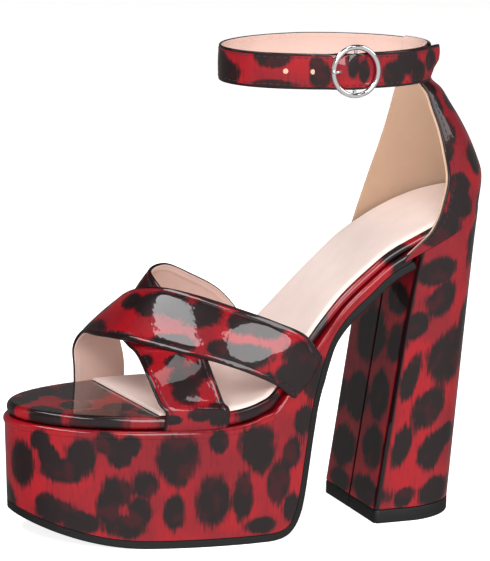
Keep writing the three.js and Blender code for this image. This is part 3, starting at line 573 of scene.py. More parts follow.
# Makes a piece from points in millimetres: merged, faces outward, smooth but for edges sharper than
# the crease. Attributes give its ink and each point's distance from a folded edge.
def makePiece(name, solids, finish, nodes, crease=40, seed=None, grow=1.12, slant=0.0, lined=None):
    points = np.concatenate([solid[0] for solid in solids])
    starts = np.cumsum([0] + [len(solid[0]) for solid in solids[:-1]])
    faces = np.concatenate([solid[1] + start for start, solid in zip(starts, solids)]).tolist()
    rims = [solid[2] if len(solid) > 2 else np.full(len(solid[0]), noRim) for solid in solids]
    mesh = bpy.data.meshes.new(name)
    mesh.from_pydata((points / 1000).tolist(), [], faces)
    rim = mesh.attributes.new("rim", "FLOAT", "POINT")
    rim.data.foreach_set("value", np.concatenate(rims).astype(np.float32))
    if seed is not None:
        charted = spots.get(name, [])
        rows = charted + scatterSpots(points, charted, seed)
        ink = mesh.attributes.new("ink", "FLOAT", "POINT")
        ink.data.foreach_set("value", inkAt(points, rows, grow, slant).astype(np.float32))
    shell = bmesh.new()
    shell.from_mesh(mesh)
    bmesh.ops.remove_doubles(shell, verts=shell.verts, dist=2e-6)
    bmesh.ops.dissolve_degenerate(shell, edges=shell.edges, dist=1e-7)
    bmesh.ops.recalc_face_normals(shell, faces=shell.faces)
    shell.to_mesh(mesh)
    shell.free()
    mesh.shade_smooth()
    mesh.set_sharp_from_angle(angle=math.radians(crease))
    mesh.materials.append(finishes[finish])
    if lined is not None:
        centres = np.empty(len(mesh.polygons) * 3)
        mesh.polygons.foreach_get("center", centres)
        mesh.materials.append(finishes["litLining"])
        inside = lined(centres.reshape(-1, 3) * 1000)
        mesh.polygons.foreach_set("material_index", inside.astype(np.int32))
    piece = addObject(name, mesh)
    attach(piece, "root")
    if nodes:
        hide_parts(*nodes)
    print(f"{name}: {len(mesh.polygons)} faces")


# Two layers of leather on one grid: the printed cover outside, the lining inside it
def layeredSheet(cover, lining, grid, out, sheet, nodes, finish="litLining", inner=None, **looks):
    liningThick = sheet["thick"] - sheet["skin"]
    inner = grid if inner is None else inner
    makePiece(cover, [sheetSolid(grid, sheet["skin"], liningThick / 2, out)], "print", nodes, 60, **looks)
    makePiece(lining, [sheetSolid(inner, liningThick, -sheet["skin"] / 2, out)], finish, [], 60)


# Stitches along a path: capsules of rings round its direction, one each pitch, pressed into the surface
stitch = {"long": 2.1, "pitch": 2.9, "thick": 0.5, "sink": 0.06}


def stitchRow(path, outward):
    run = np.concatenate([[0], np.linalg.norm(np.diff(path, axis=0), axis=1).cumsum()])
    stops = np.arange(stitch["pitch"], run[-1] - stitch["pitch"] / 2, stitch["pitch"])
    at, ahead, up = (np.stack([np.interp(stops, run, values[:, k]) for k in range(3)], -1)
                     for values in (path, np.gradient(path, run, axis=0), outward))
    ahead, up = unit(ahead), unit(up)
    side = np.cross(ahead, up)
    along = np.array([-0.5, -0.38, 0, 0.38, 0.5]) * stitch["long"]
    wide = np.array([0.25, 0.8, 1, 0.8, 0.25]) * stitch["thick"] / 2
    angle = circle(6)
    grid = (at[:, None, None] + ahead[:, None, None] * along[None, :, None, None]
            + side[:, None, None] * (wide[:, None] * np.cos(angle))[None, ..., None]
            + up[:, None, None] * (wide[:, None] * np.sin(angle) - stitch["sink"])[None, ..., None])
    one = loftSections(grid[0])[1]
    first = np.arange(len(stops)) * len(along) * len(angle)
    faces = (one[None] + first[:, None, None]).reshape(-1, 4)
    return grid.reshape(-1, 3), faces


# Stitches along two columns of a sheet over some of its rows, on its outer face or the inner one (-1)
def stitchSheet(grid, out, thick, columns, rows, face=1):
    lines = []
    for column in columns:
        path = grid[:, column] + face * out[:, column] * thick / 2
        lines.append(stitchRow(path[rows], face * out[rows, column]))
    return lines


print("sole")
# Underside in black rubber: three loops up the wall, a rounded lower edge
rubber = {"edge": 0.8, "tuck": 0.7}


# The outline at a thickness above the lower face, moved in by the draft and an inset
def soleLoop(station, thickness, inset):
    moved, height = raisedSole(station, thickness)
    return outlineLoop(moved, draftAt(height) + inset, height)


def outsoleRubber():
    station = stationsOver(firstStation, blockEnd)
    loops = []
    for t in np.linspace(0, 1, 5):
        turn = t * math.pi / 2
        loops.append(soleLoop(station, rubber["edge"] * (1 - math.cos(turn)),
                              sole["beadDepth"] + rubber["tuck"] * (1 - math.sin(turn))))
    loops.append(soleLoop(station, sole["outsole"] * 0.5, sole["beadDepth"]))
    loops.append(soleLoop(station, sole["outsole"], sole["beadDepth"]))
    return loftLoops(loops, 6)


makePiece("outsoleRubber", [outsoleRubber()], "rubber", ["outsole"])

# Covered block: plain wall in even steps, then a bead whose section is a half circle, then the top
cover = {"wallSteps": 46, "beadSteps": 9, "topInset": 2.2}


def platformCover():
    station = stationsOver(firstStation, lastStation)
    tongue = station > blockEnd + 0.01
    moved, low = raisedSole(station, sole["outsole"] + gap)
    moved = np.where(tongue, station, moved)
    low = np.where(tongue, below(station, bedBottomDepth(station) + gap + sole["tongue"]), low)
    tuck = np.where(tongue, sole["tongueInset"], 0.0)

    def level(inset, depth, share):
        def loopSide(side):
            def height(at):
                top = platformTop(at)
                reach = np.minimum(1, (top - low) / (sole["beadHeight"] + sole["beadDepth"]))
                return mix(low, top - depth * reach, share)
            lean = mix(sole["beadDepth"] + draftAt(low), inset, share)
            return outlineSide(side, moved, lean + tuck, height)
        return np.concatenate([loopSide("lateral"), loopSide("medial")[::-1]])

    wall = np.linspace(0, 1, cover["wallSteps"])
    loops = [level(sole["beadDepth"], sole["beadHeight"], t) for t in wall]
    for t in np.linspace(0, 1, cover["beadSteps"])[1:]:
        angle = t * math.pi
        inset = sole["beadDepth"] * (1 - math.sin(angle)) + 0.8 * max(0, -math.cos(angle)) ** 2
        loops.append(level(inset, sole["beadHeight"] * (1 + math.cos(angle)) / 2, 1))
    loops.append(level(cover["topInset"], 0.05, 1))
    return loftLoops(loops, 2)


makePiece("platformCover", [platformCover()], "print", ["platform"], 50, seed=11, grow=1.04)

# Board under the foot, wrapped: its edge is a half circle from the underside to the top
bed = {"roll": 2.1, "edgeSteps": 11}


def footbedCover():
    station = stationsOver(firstStation, lastStation)

    def level(turn):
        inset = sole["footbedInset"] + bed["roll"] * (1 - math.cos(turn))
        share = (1 + math.sin(turn)) / 2

        def height(at):
            low = below(at, bedBottomDepth(at))
            return mix(low, below(at, sole["sock"] + gap), share)
        return outlineLoop(station, inset, height, 0)
    loops = [level(turn) for turn in np.linspace(-math.pi / 2, math.pi / 2, bed["edgeSteps"])]
    return loftLoops(loops, 40)


makePiece("footbedCover", [footbedCover()], "print", ["footbed"], 60, seed=12, grow=1.5)

# Sock: cut across behind the toes on a slant, its edge skived thin, the top faintly cushioned
sock = {"lateralFront": 0.249, "medialFront": 0.220, "edge": 3.0}


def sockLining():
    station = stationsOver(sock["lateralFront"] * length + 2, lastStation)

    def level(inset, depth):
        sides = []
        for side, front in (("lateral", sock["lateralFront"]), ("medial", sock["medialFront"])):
            every = np.concatenate([[front * length], station])
            sides.append(outlineSide(
                side, every, sole["sockInset"] + inset, lambda at: below(at, depth), 0))
        return np.concatenate([sides[0], sides[1][::-1]])
    loops = []
    for t in np.linspace(0, 1, 7):
        loops.append(level(sock["edge"] * t, sole["sock"] * (1 - t) ** 2))
    return loftLoops(loops, 24)


makePiece("sockLining", [sockLining()], "sock", ["insole"], 50)

print("heel")
# Covered heel: its outline at each height runs from the breast's corner round to the back.
# The covering is butted in a seam down the breast, a shallow groove.
heelFlare = smoothCurve([(0, 0), (0.6, 0.06), (0.82, 0.3), (0.93, 0.7), (1, 1)])
heelTurns = np.concatenate([np.linspace(0.0, 0.12, 10, endpoint=False), np.linspace(0.12, 1, 60)])
heelTurns = np.minimum(heelTurns, 0.985)
breastShares = np.concatenate([
    np.linspace(-1, -0.06, 19)[1:], np.linspace(-0.05, 0.05, 11), np.linspace(0.06, 1, 19)[:-1]])


def heelSide(side, share, turn):
    reach = np.sin(turn * math.pi / 2) ** heel["roundPower"]
    foot = mix(heel["breast"], heel["breast"] + heel["length"], reach)
    seat = mix(heel["breast"] + heel["pitch"], seatEnd - 0.4, reach)
    arc = np.clip((reach - heel["flatShare"]) / (1 - heel["flatShare"]), 0, 1)
    footHalf = heel["width"] / 2 * np.sqrt(np.maximum(0, 1 - arc ** 2))
    half = mix(footHalf, halfWidth(side, seat, -heel["proud"]), heelFlare(share))
    station = mix(foot, seat, share)
    z = mix(heel["lift"] + gap, heelTop(seat), share)
    return np.stack([length / 2 - station, sideSign[side] * half, z], -1)


# The heel at a share of its height: two sides with round front corners, then the flat breast
def heelLoop(share, shrink=0.0):
    sides = []
    for side in ("lateral", "medial"):
        points = heelSide(side, share, heelTurns)
        behind = points[0, 0] - points[:, 0]
        fromArc = np.maximum(0, heel["corner"] - behind)
        cut = heel["corner"] - np.sqrt(np.maximum(0, heel["corner"] ** 2 - fromArc ** 2))
        points[:, 1] -= sideSign[side] * (cut + shrink)
        sides.append(points)
    front = mix(sides[1][0], sides[0][0], (breastShares[:, None] + 1) / 2)
    dip = heel["seamDepth"] * np.exp(-(front[:, 1] / heel["seamWidth"]) ** 2)
    front[:, 0] -= dip
    return np.concatenate([sides[0], sides[1][::-1], front])


# A stack of loops that are capped by fans from the middle
def stackLoops(loops):
    count = len(loops[0])
    ends = [loops[0].mean(0)[None], loops[-1].mean(0)[None]]
    grid = [np.repeat(ends[0], count, 0)] + loops + [np.repeat(ends[1], count, 0)]
    return np.concatenate(grid), gridFaces(len(grid), count, 0, True)


heelShares = np.concatenate([[0], np.linspace(0.004, 1, 110)])
heelLoops = [heelLoop(share, heel["liftGroove"] * (share == 0)) for share in heelShares]
heelStack = stackLoops(heelLoops)


# How far each point of the heel lies from its seam or from its two folded front corners
def heelRim(points):
    onBreast = np.arange(len(points)) % len(heelLoops[0]) >= 2 * len(heelTurns)
    seam = np.where(onBreast, np.abs(points[:, 1]) * 0.9, noRim)
    fromCorner = np.arange(len(heelTurns)) * 0.32
    around = np.concatenate([fromCorner, fromCorner[::-1], np.full(len(breastShares), noRim)])
    return np.minimum(seam, np.tile(around, len(points) // len(around)) + 0.1)


makePiece("heelCover", [(*heelStack, heelRim(heelStack[0]))], "print", ["heel_block"], 50,
          seed=13, grow=1.14, slant=0.3)


# Wear piece: the heel's lowest loop at six levels, drawn in towards its middle at both edges
def topLift():
    foot = heelLoop(0)
    high = heel["lift"]
    levels = [(0, 0.5), (0.15, 0.2), (0.5, 0), (high - 0.5, 0), (high - 0.1, 0.25), (high, 0.5)]
    centre = foot.mean(0)
    loops = []
    for height, inset in levels:
        loop = foot - unit((foot - centre) * [1, 1, 0]) * inset
        loop[:, 2] = height
        loops.append(loop)
    return stackLoops(loops)


makePiece("topLift", [topLift()], "rubber", ["top_lift"], 50)

print("counter")
counter = {
    "height": 53.6, "thick": 1.6, "skin": 1.0, "liningAhead": 0.9, "blend": 0.24, "cupLength": 1.06,
    "back": [(0, 0.986), (0.1, 0.993), (0.24, 0.991), (0.39, 0.98), (0.56, 0.962), (0.7, 0.942),
             (0.83, 0.919), (0.92, 0.902), (1, 0.878)],
    "lateral": [(0, 0.772), (0.1, 0.833), (0.24, 0.859), (0.39, 0.872), (0.56, 0.867), (0.7, 0.86),
                (0.83, 0.849), (0.92, 0.842), (1, 0.828)],
    "medial": [(0, 0.772), (0.1, 0.789), (0.24, 0.805), (0.39, 0.82), (0.56, 0.836), (0.7, 0.845),
               (0.83, 0.849), (0.92, 0.851), (1, 0.84)],
    "half": [(0, 0.762), (0.1, 0.75), (0.24, 0.718), (0.39, 0.677), (0.56, 0.622), (0.7, 0.566),
             (0.83, 0.507), (0.92, 0.466), (1, 0.428)],
}
counterCurve = {key: smoothCurve(counter[key]) for key in ("back", "lateral", "medial", "half")}


# The foot of the counter, just above the top of the heel
def featherLine(station):
    return heelTop(station) + gap


# One side of the cup: from its front edge (turn 0) round to the back (turn 1), at a share of its height
def counterSide(side, share, turn, inward, ahead):
    front = counterCurve[side](share) * length - ahead
    back = counterCurve["back"](share) * length - inward
    station = mix(front, back - 0.02, np.sin(turn * math.pi / 2))
    half = counterCurve["half"](share) * halfBall - inward
    middle = back - half * counter["cupLength"]
    around = np.clip((station - middle) / (back - middle), 0, 1)
    cup = half * np.sqrt(1 - around ** roundness["cup"])
    seat = halfWidth(side, np.minimum(station, seatEnd - 0.05), inward - heel["proud"])
    blend = smoothStep(1 - share / counter["blend"], 0, 1)
    top = featherLine(np.array(seatEnd)) + counter["height"]
    return np.stack([
        length / 2 - station,
        mix(sideSign[side] * cup + seatApex * 0.3, sideSign[side] * seat, blend),
        mix(featherLine(station), top, share)], -1)


# The whole cup: each row runs back along the outer side and forward along the inner side
def counterGrid(inward, ahead=0.0):
    share = np.linspace(0, 1, 62)[:, None]
    turn = np.concatenate([np.linspace(0, 0.12, 8, endpoint=False), np.linspace(0.12, 1, 44)])[None]
    lateral = counterSide("lateral", share, turn, inward, ahead)
    medial = counterSide("medial", share, turn, inward, ahead)
    return np.concatenate([lateral, medial[:, -2::-1]], 1)


counterMiddle = counterGrid(counter["thick"] / 2)
counterOut = facingNormals(counterMiddle, 30, 3, [0, 1, 0])
liningMiddle = counterGrid(counter["thick"] / 2, counter["liningAhead"])  # it shows past the front edge
# The counter's lining takes the lining colour that has the shade inside the cup painted into it
layeredSheet("counterCover", "counterLining", counterMiddle, counterOut, counter, ["counter"], "lining",
             liningMiddle, seed=14)

print("ankle strap")
ankle = {
    "loopLength": 92.4, "loopWidth": 62, "middle": -31.9, "height": 200, "tilt": 1.25, "dip": 0.8,
    "width": 15, "thick": 1.6, "skin": 1.0, "crown": 0.35,
    "tailEnd": 5.1, "cutFrom": 4.3, "cutShare": 0.55,
    "tunnelWidth": 22, "tunnelWall": 0.9, "tunnelBrim": 0.35, "tunnelFoot": 0.9,
    "ring": 22.5, "wire": 2.2, "bar": 1.6, "barDrop": 1, "prong": 1.4, "hole": 2.2, "holeSpacing": 12,
}
ringRadius = ankle["ring"] / 2
tailLift = ankle["thick"] + gap + 0.1
ringLift = tailLift + ankle["thick"] / 2 + gap + ankle["wire"] / 2 - 0.6
barLift = ringLift - ankle["barDrop"] + ankle["bar"] / 2 + gap + ankle["thick"] / 2


# A point of the ankle loop, an ellipse: turn in degrees, 90 at the buckle and 180 at the back
def loopPoint(turn, lift, height):
    c, s = np.cos(turn * degree), np.sin(turn * degree)
    long, wide = ankle["loopLength"] / 2, ankle["loopWidth"] / 2
    out = unit(np.stack([c / long, s / wide, 0 * c], -1))
    base = np.stack([ankle["middle"] + long * c, wide * s, 0 * c], -1)
    point = base + out * np.asarray(lift + 0 * c)[..., None]
    point[..., 2] = ankle["height"] - ankle["tilt"] * s - ankle["dip"] * np.maximum(0, c) + height
    return point


# The turn at a distance behind the bar, taken as an arc of the loop's long radius
def turnOf(distance):
    return 90 + distance / (ankle["loopLength"] / 2) / degree


# Lifts of the band off the loop at distances from the bar in ring radii: where it starts, and where it
# comes round again, at its middle and at its edges
bandStart = 0.13
passStart = -2.5
startLift = smoothCurve([(bandStart, ringLift - ankle["barDrop"]), (0.36, 1.2), (0.62, 0.1), (0.9, 0)])
passRows = [
    (passStart, 0, 0), (-1.6, 0.4 * tailLift, 0.4 * tailLift), (-0.91, tailLift - 0.15, tailLift - 0.25),
    (-0.7, 0.58 * barLift, tailLift - 0.3), (-0.45, 0.78 * barLift, tailLift - 0.2),
    (-0.25, 0.92 * barLift, 0.78 * barLift), (0, barLift, barLift),
    (0.25, 0.92 * barLift, 0.78 * barLift), (0.45, 0.78 * barLift, tailLift - 0.2),
    (0.7, 0.58 * barLift, tailLift - 0.2),
    (0.91, tailLift - 0.1, tailLift - 0.15), (1.3, tailLift, tailLift), (4, tailLift, tailLift),
    (4.7, tailLift + 1, tailLift + 1), (5.15, tailLift + 2.8, tailLift + 2.8)]
passLift = smoothCurve([(at, middle) for at, middle, edge in passRows])
passEdge = smoothCurve([(at, edge) for at, middle, edge in passRows])
bandRows = {"first": 60, "around": 230, "second": 210}
bandAcross = np.array([
    0, 0.03, 0.06, 0.1, 0.13, 0.17, 0.24, 0.32, 0.41, 0.5, 0.59, 0.68, 0.76, 0.83, 0.87, 0.9, 0.94,
    0.97, 1])[None]


# The band from the bar round the ankle, up over the bar and back as the tail: turns, lifts, end cut
def bandGrid():
    first = np.linspace(bandStart, 2, bandRows["first"], endpoint=False)
    around = np.linspace(turnOf(2 * ringRadius), turnOf(passStart * ringRadius) + 360, bandRows["around"],
                         endpoint=False)
    second = np.linspace(passStart, ankle["tailEnd"], bandRows["second"])
    turn = np.concatenate([turnOf(first * ringRadius), around, turnOf(second * ringRadius) + 360])
    rest = 0 * around
    lift = np.concatenate([startLift(first), rest, passLift(second)])
    edge = np.concatenate([startLift(first), rest, passEdge(second)])
    end = np.clip((second - ankle["cutFrom"]) / (ankle["tailEnd"] - ankle["cutFrom"]), 0, 1)
    cut = np.concatenate([0 * first, rest, end])
    half = ankle["width"] / 2 - ankle["skin"] / 2
    foot = (-half + cut * ankle["width"] * ankle["cutShare"])[:, None]
    height = mix(foot, half, bandAcross)
    bulge = 1 - (2 * bandAcross - 1) ** 2
    raised = mix(edge[:, None], lift[:, None], np.sqrt(bulge)) + ankle["crown"] * bulge
    return loopPoint(turn[:, None] + 0 * bandAcross, raised - ankle["crown"] * 0.6, height)


bandMiddle = bandGrid()
loopCentre = [ankle["middle"], 0, ankle["height"]]
bandOut = facingNormals(bandMiddle, 100, 9, bandMiddle[100, 9] - loopCentre)
layeredSheet("ankleBand", "ankleLining", bandMiddle, bandOut, ankle, ["ankle_strap"], seed=15)


# Tunnel at the top of the counter: two rounded rectangles, one in the other, carried round the back
def tunnelSleeve():
    half = math.asin(ankle["tunnelWidth"] / ankle["loopWidth"]) / degree
    turn = np.linspace(180 - half, 180 + half, 44)
    angle = circle(48)
    bore = ankle["thick"] / 2 + gap
    high = ankle["width"] / 2 + gap / 2

    def rounded(value):
        return np.sign(value) * np.abs(value) ** 0.35

    sections = []
    for wall, brim, foot in ((0, 0, 0), (ankle["tunnelWall"], ankle["tunnelBrim"], ankle["tunnelFoot"])):
        lift = (bore + wall) * rounded(np.cos(angle))
        height = (high + np.where(np.sin(angle) < 0, foot, brim)) * rounded(np.sin(angle))
        grid = loopPoint(turn[:, None] + 0 * angle[None], lift[None], height[None])
        sections.append(grid.reshape(-1, 3))
    count = len(angle)
    size = len(turn) * count
    faces = [gridFaces(len(turn), count, 0, True), gridFaces(len(turn), count, size, True)]
    here = np.arange(count)
    there = np.roll(here, -1)
    for base in (0, size - count):
        faces.append(np.stack([base + here, base + there, size + base + there, size + base + here], -1))
    return np.concatenate(sections), np.concatenate(faces)


# Its side towards the ankle is faced with lining kid
def towardsAnkle(centres):
    long, wide = ankle["loopLength"] / 2, ankle["loopWidth"] / 2
    return np.hypot((centres[:, 0] - ankle["middle"]) / long, centres[:, 1] / wide) < 1.0


makePiece("tunnelSleeve", [tunnelSleeve()], "print", ["counter"], 50, seed=16, lined=towardsAnkle)

print("buckle")


# A place in the plane of the buckle: behind the bar, out from the loop, up
def bucklePlace(back, out, up=0.0):
    base = [ankle["middle"], ankle["loopWidth"] / 2, ankle["height"] - ankle["tilt"]]
    return np.stack([base[0] - back, base[1] + out + 0 * back, base[2] + up + 0 * back], -1)


# The ring: a torus whose section is a slightly flattened circle
def ringTorus():
    major = ringRadius - ankle["wire"] / 2
    u = circle(120)[:, None]
    v = circle(24)[None]
    reach = major + ankle["wire"] / 2 * np.cos(v)
    out = ringLift + ankle["wire"] / 2 * np.sin(v) * 0.92
    grid = bucklePlace(reach * np.cos(u), out, reach * np.sin(u))
    faces = gridFaces(u.size + 1, v.size, 0, True) % (u.size * v.size)
    return grid.reshape(-1, 3), faces


# The bar: a straight tube across the ring, a little under its middle plane
def barRod():
    reach = ringRadius - ankle["wire"] / 2
    t = np.linspace(-1, 1, 12)
    path = bucklePlace(0 * t, ringLift - ankle["barDrop"], t * reach)
    return tubeAlong(path, ankle["bar"] / 2, 18)


prongRest = ringLift + (ankle["wire"] + ankle["prong"]) / 2 + 0.1
prongOut = smoothCurve([(0, ringLift - ankle["barDrop"]), (0.45, ringLift - 0.6), (0.75, ringLift + 1.3),
                        (0.92, prongRest), (1, prongRest)])
prongSpan = [ankle["bar"] / 2 + gap, ringRadius - 0.6]


# The prong: a tube that runs forward from the bar and climbs to rest on the ring
def prongRod():
    t = np.linspace(0, 1, 40)
    path = bucklePlace(-mix(prongSpan[0], prongSpan[1], t), prongOut(t))
    return tubeAlong(path, ankle["prong"] / 2, 18)


makePiece("ringBuckle", [ringTorus(), barRod()], "metal", ["buckle_ring"], 50)
makePiece("bucklePin", [prongRod()], "metal", ["buckle_prong"], 50)


# Punched holes in front of the buckle, seen as the pale lining behind them: shallow discs in a ring
def holeDiscs():
    solids = []
    for count in (1, 2):
        turn = turnOf(-ringRadius / 2 - count * ankle["holeSpacing"]) + 360
        centre = loopPoint(np.array(turn), 0.0, 0.0)
        out = unit(loopPoint(np.array(turn), 1.0, 0.0) - centre)
        side = unit(np.cross([0, 0, 1], out))
        angle = circle(24)[:, None]
        spoke = side * np.cos(angle) + np.array([0, 0, 1]) * np.sin(angle)
        radius = ankle["hole"] / 2
        lift = passLift(-0.5 - count * ankle["holeSpacing"] / ringRadius)
        face = lift + ankle["thick"] / 2 + 0.14
        rings = [(0.6, face - 0.5), (1, face - 0.5), (1, face), (0.9, face + 0.05), (0.5, face + 0.07)]
        loops = [centre + spoke * radius * share + out * depth for share, depth in rings]
        solids.append(stackLoops(loops))
    return solids


makePiece("punchedHoles", holeDiscs(), "lining", [], 50)

print("crossed straps")
straps = {
    "thick": 2.0, "skin": 1.3, "crown": 0.7, "footInset": 1.7, "raise": 0.8, "footReach": 0.6,
    "stitchIn": 2.0, "stitchDip": 0.22, "stitchWidth": 0.45,
}
# Rows along each strap, lateral to medial: its front edge, then its back edge, each as a share of the
# length, of half the ball and of the instep
strapOverRows = [
    (0.521, 0.937, 0.09, 0.583, 0.87, 0.46), (0.484, 0.9, 0.215, 0.553, 0.842, 0.66),
    (0.423, 0.8, 0.345, 0.498, 0.737, 0.785), (0.363, 0.648, 0.432, 0.435, 0.533, 0.888),
    (0.3, 0.417, 0.492, 0.372, 0.243, 0.974), (0.237, 0.07, 0.533, 0.321, -0.093, 1),
    (0.207, -0.37, 0.5, 0.288, -0.417, 0.93), (0.195, -0.74, 0.45, 0.272, -0.683, 0.77),
    (0.186, -0.87, 0.3, 0.283, -0.9, 0.48), (0.188, -0.88, 0.1, 0.3, -0.945, 0.15)]
strapUnderRows = [
    (0.258, 0.9, 0.02, 0.386, 0.957, 0.02), (0.249, 0.86, 0.08, 0.381, 0.903, 0.055),
    (0.24, 0.625, 0.295, 0.37, 0.8, 0.25), (0.245, 0.21, 0.44, 0.358, 0.463, 0.6),
    (0.244, -0.023, 0.475, 0.337, 0.093, 0.88), (0.24, -0.208, 0.543, 0.321, -0.208, 1.027),
    (0.251, -0.405, 0.633, 0.323, -0.463, 1.126), (0.284, -0.625, 0.655, 0.363, -0.613, 1.151),
    (0.335, -0.787, 0.554, 0.423, -0.718, 1.027), (0.409, -0.85, 0.306, 0.498, -0.775, 0.813),
    (0.445, -0.86, 0.13, 0.547, -0.76, 0.5)]


# Where an edge of a strap ends: on the outline, a little under the platform's top
def strapFoot(side, share):
    station = np.array(share * length)
    shelf = halfBall * shelfOut(share) if side == "lateral" else 0
    half = halfWidth(side, station, straps["footInset"] + straps["thick"] / 2) + shelf
    return [length / 2 - station, sideSign[side] * half, platformTop(station) - straps["footReach"]]


# A curve through points whose pieces are cubic, with knots a square root of the chord apart
def throughPoints(points, count):
    points = np.array(points, float)
    points = np.concatenate([[2 * points[0] - points[1]], points, [2 * points[-1] - points[-2]]])
    knots = np.sqrt(np.linalg.norm(np.diff(points, axis=0), axis=1))
    place = np.linspace(0, len(points) - 3, count)
    i = np.minimum(place.astype(int), len(points) - 4)
    t = (place - i)[:, None]
    a, b, c, d = (points[i + k] for k in range(4))
    k0, k1, k2 = (knots[i + k][:, None] for k in range(3))
    leave = ((b - a) / k0 - (c - a) / (k0 + k1) + (c - b) / k1) * k1
    arrive = ((c - b) / k1 - (d - b) / (k1 + k2) + (d - c) / k2) * k1
    return (b + leave * t + (3 * (c - b) - 2 * leave - arrive) * t ** 2
            + (2 * (b - c) + leave + arrive) * t ** 3)


# A strap between its two edges: straight across plus a crown, lifted where it passes over the other
def strapGrid(rows, lift, rowsAlong=190):
    edges = []
    for k in (0, 3):
        feet = [strapFoot("lateral", rows[0][k]), strapFoot("medial", rows[-1][k])]
        points = [(length / 2 - row[k] * length, row[k + 1] * halfBall,
                   shoe["tread"] + row[k + 2] * shoe["instep"]) for row in rows]
        edges.append(throughPoints([feet[0], *points, feet[1]], rowsAlong))
    front, back = edges
    over = unit(back - front)
    along = unit(np.gradient(front, axis=0)) + unit(np.gradient(back, axis=0))
    out = unit(np.cross(over, along))
    front = front + over * straps["skin"] / 2
    back = back - over * straps["skin"] / 2
    share = np.array([
        0, 0.015, 0.03, 0.05, 0.062, 0.074, 0.086, 0.1, *np.linspace(0.14, 0.86, 24), 0.9, 0.914, 0.926,
        0.938, 0.95, 0.97, 0.985, 1])[None, :, None]
    u = np.linspace(0, 1, rowsAlong)[:, None, None]
    crown = straps["crown"] * 4 * share * (1 - share)
    width = np.linalg.norm(back - front, axis=1)[:, None, None]
    inFromEdge = np.minimum(share, 1 - share) * width
    seam = np.exp(-((inFromEdge - straps["stitchIn"]) / straps["stitchWidth"]) ** 2)
    raised = crown + lift * np.sin(math.pi * u) - straps["stitchDip"] * seam
    grid = mix(front[:, None], back[:, None], share) + out[:, None] * raised
    return grid, np.repeat(out[:, None], grid.shape[1], 1)


threads = []
for name, rows, lift, seed in (("strapOver", strapOverRows, straps["raise"], 17),
                               ("strapUnder", strapUnderRows, 0.0, 18)):
    grid, out = strapGrid(rows, lift)
    outNormals = gridNormals(grid)
    outNormals *= np.sign(np.sum(outNormals * out, -1, keepdims=True))
    layeredSheet(name, name + "Lining", grid, outNormals, straps, ["vamp_straps"], seed=seed, grow=1.35)
    threads += stitchSheet(grid, outNormals, straps["thick"], (6, -7), slice(6, -6))

print("stitches")
sewnEnd = bandRows["first"] + bandRows["around"]
threads += stitchSheet(bandMiddle, bandOut, ankle["thick"], (3, -4), slice(20, None))
threads += stitchSheet(counterMiddle, counterOut, counter["thick"], (5, -6), slice(2, -6))
makePiece("upperStitches", threads, "darkThread", [], 60)
liningThreads = stitchSheet(bandMiddle, bandOut, ankle["thick"], (3, -4), slice(20, sewnEnd), -1)
makePiece("liningStitches", liningThreads, "paleThread", [], 60)

print("studio")
camera = {
    "azimuth": 158.59, "elevation": 10.75, "roll": 1.13, "distance": 1186.75, "focalPixels": 2753.3,
    "target": (1.83, -1.5, 105.08), "framePixels": 561,
}


# The camera's axes come from its azimuth, elevation and roll: right, up and back
def placeCamera():
    a, e, r = (camera[key] * degree for key in ("azimuth", "elevation", "roll"))
    back = np.array([math.sin(a) * math.cos(e), -math.cos(a) * math.cos(e), math.sin(e)])
    level = np.array([math.cos(a), math.sin(a), 0])
    high = np.cross(back, level)
    right = level * math.cos(r) + high * math.sin(r)
    up = high * math.cos(r) - level * math.sin(r)
    data = bpy.data.cameras.new("photoCamera")
    data.sensor_width = 36
    data.lens = camera["focalPixels"] * data.sensor_width / camera["framePixels"]
    data.clip_start = 0.05
    data.clip_end = 40
    place = (np.array(camera["target"]) + back * camera["distance"]) / 1000
    bpy.context.scene.camera = addObject("photoCamera", data, (right, up, back), place)


placeCamera()


# Floor: a large sheet of white paper, lit from below so that it stays white. Gloss doesn't mirror it:
# there the room's dark lower half stands in for it, as black cards round the table would
floorPaper = {"reach": 9.0, "white": "#F4F3F1", "glow": 0.85}


def layFloor():
    reach = floorPaper["reach"]
    mesh = bpy.data.meshes.new("studioFloor")
    corners = [(-reach, -reach, 0), (reach, -reach, 0), (reach, reach, 0), (-reach, reach, 0)]
    mesh.from_pydata(corners, [], [(0, 1, 2, 3)])
    material, tree = newMaterial("floorPaper")[:2]
    finishMaterial(tree, {
        "Base Color": linear(floorPaper["white"]), "Roughness": 0.7, "Specular IOR Level": 0.1,
        "Emission Color": (1, 1, 1, 1), "Emission Strength": floorPaper["glow"]})
    mesh.materials.append(material)
    floor = addObject("studioFloor", mesh)
    floor.visible_glossy = False


layFloor()

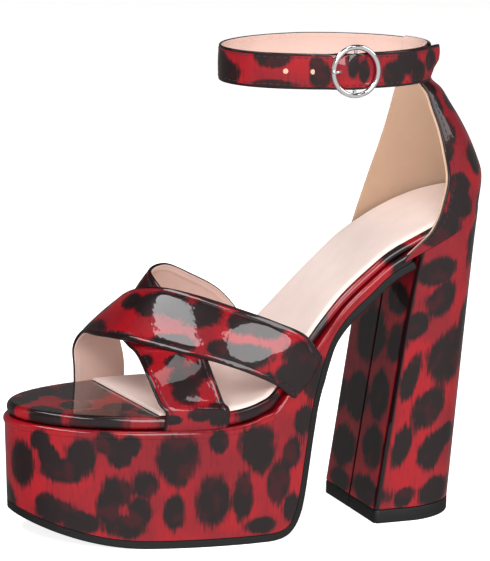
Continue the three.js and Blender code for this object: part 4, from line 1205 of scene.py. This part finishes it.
# Where each box hangs, in metres, its size, how far it is turned and its radiance. All face the mark.
boxMark = (0, 0, 0.08)
softBoxes = {
    "overBox": {"at": (0.82, 0.115, 1.26), "size": (1.6, 0.24), "turn": -20, "glow": 9.0},
    "cameraBox": {"at": (0.24, 1.2, 0.92), "size": (0.98, 0.66), "turn": -75, "glow": 7.5},
    "toeBox": {"at": (1.5, -0.5, 0.75), "size": (0.5, 0.9), "turn": 0, "glow": 0.7},
    "topBox": {"at": (-0.03, 0.07, 1.5), "size": (0.3, 0.7), "turn": 0, "glow": 3.6},
    "sideBox": {"at": (-0.38, 0.84, 1.16), "size": (0.15, 0.22), "turn": 0, "glow": 6.0},
    "backBox": {"at": (-1.3, 0.6, 1.1), "size": (0.8, 0.9), "turn": 0, "glow": 3.0},
}


# A box hangs at its place and faces the mark, turned about that line; power is radiance by area by pi
def hangBox(name, box):
    data = bpy.data.lights.new(name, "AREA")
    data.shape = "RECTANGLE"
    data.size, data.size_y = box["size"]
    data.energy = box["glow"] * box["size"][0] * box["size"][1] * math.pi
    back = unit(np.array(box["at"]) - np.array(boxMark))
    level = unit(np.cross([0, 0, 1], back))
    turn = box["turn"] * degree
    right = level * math.cos(turn) + np.cross(back, level) * math.sin(turn)
    addObject(name, data, (right, np.cross(back, right), back), box["at"])


for name, box in softBoxes.items():
    hangBox(name, box)


# The room: pale at the height of the shoe and on the outer side, dark overhead and on the inner side
room = {"outer": 0.62, "inner": 0.14, "overhead": 0.16}


def paintRoom():
    world = bpy.data.worlds.new("studioRoom")
    world.use_nodes = True
    tree = world.node_tree
    tree.nodes.clear()
    place = addNode(tree, "ShaderNodeTexCoord", {}, "Generated")
    high = addNode(tree, "ShaderNodeSeparateXYZ", {0: place}, 2)
    outward = addNode(tree, "ShaderNodeSeparateXYZ", {0: place}, 1)
    dark = room["overhead"]
    colour = layColours(tree, (1.0, 1.0, 1.0, 1), [(high, 0.1, 0.6, 0, 1, (dark, dark, dark, 1))])
    strength = addNode(tree, "ShaderNodeMapRange", {
        "Value": outward, "From Min": -0.4, "From Max": 0.9, "To Min": room["inner"],
        "To Max": room["outer"]}, interpolation_type="SMOOTHSTEP")
    light = addNode(tree, "ShaderNodeBackground", {"Color": colour, "Strength": strength})
    addNode(tree, "ShaderNodeOutputWorld", {"Surface": light})
    bpy.context.scene.world = world


paintRoom()
bpy.context.scene.view_settings.view_transform = "Standard"
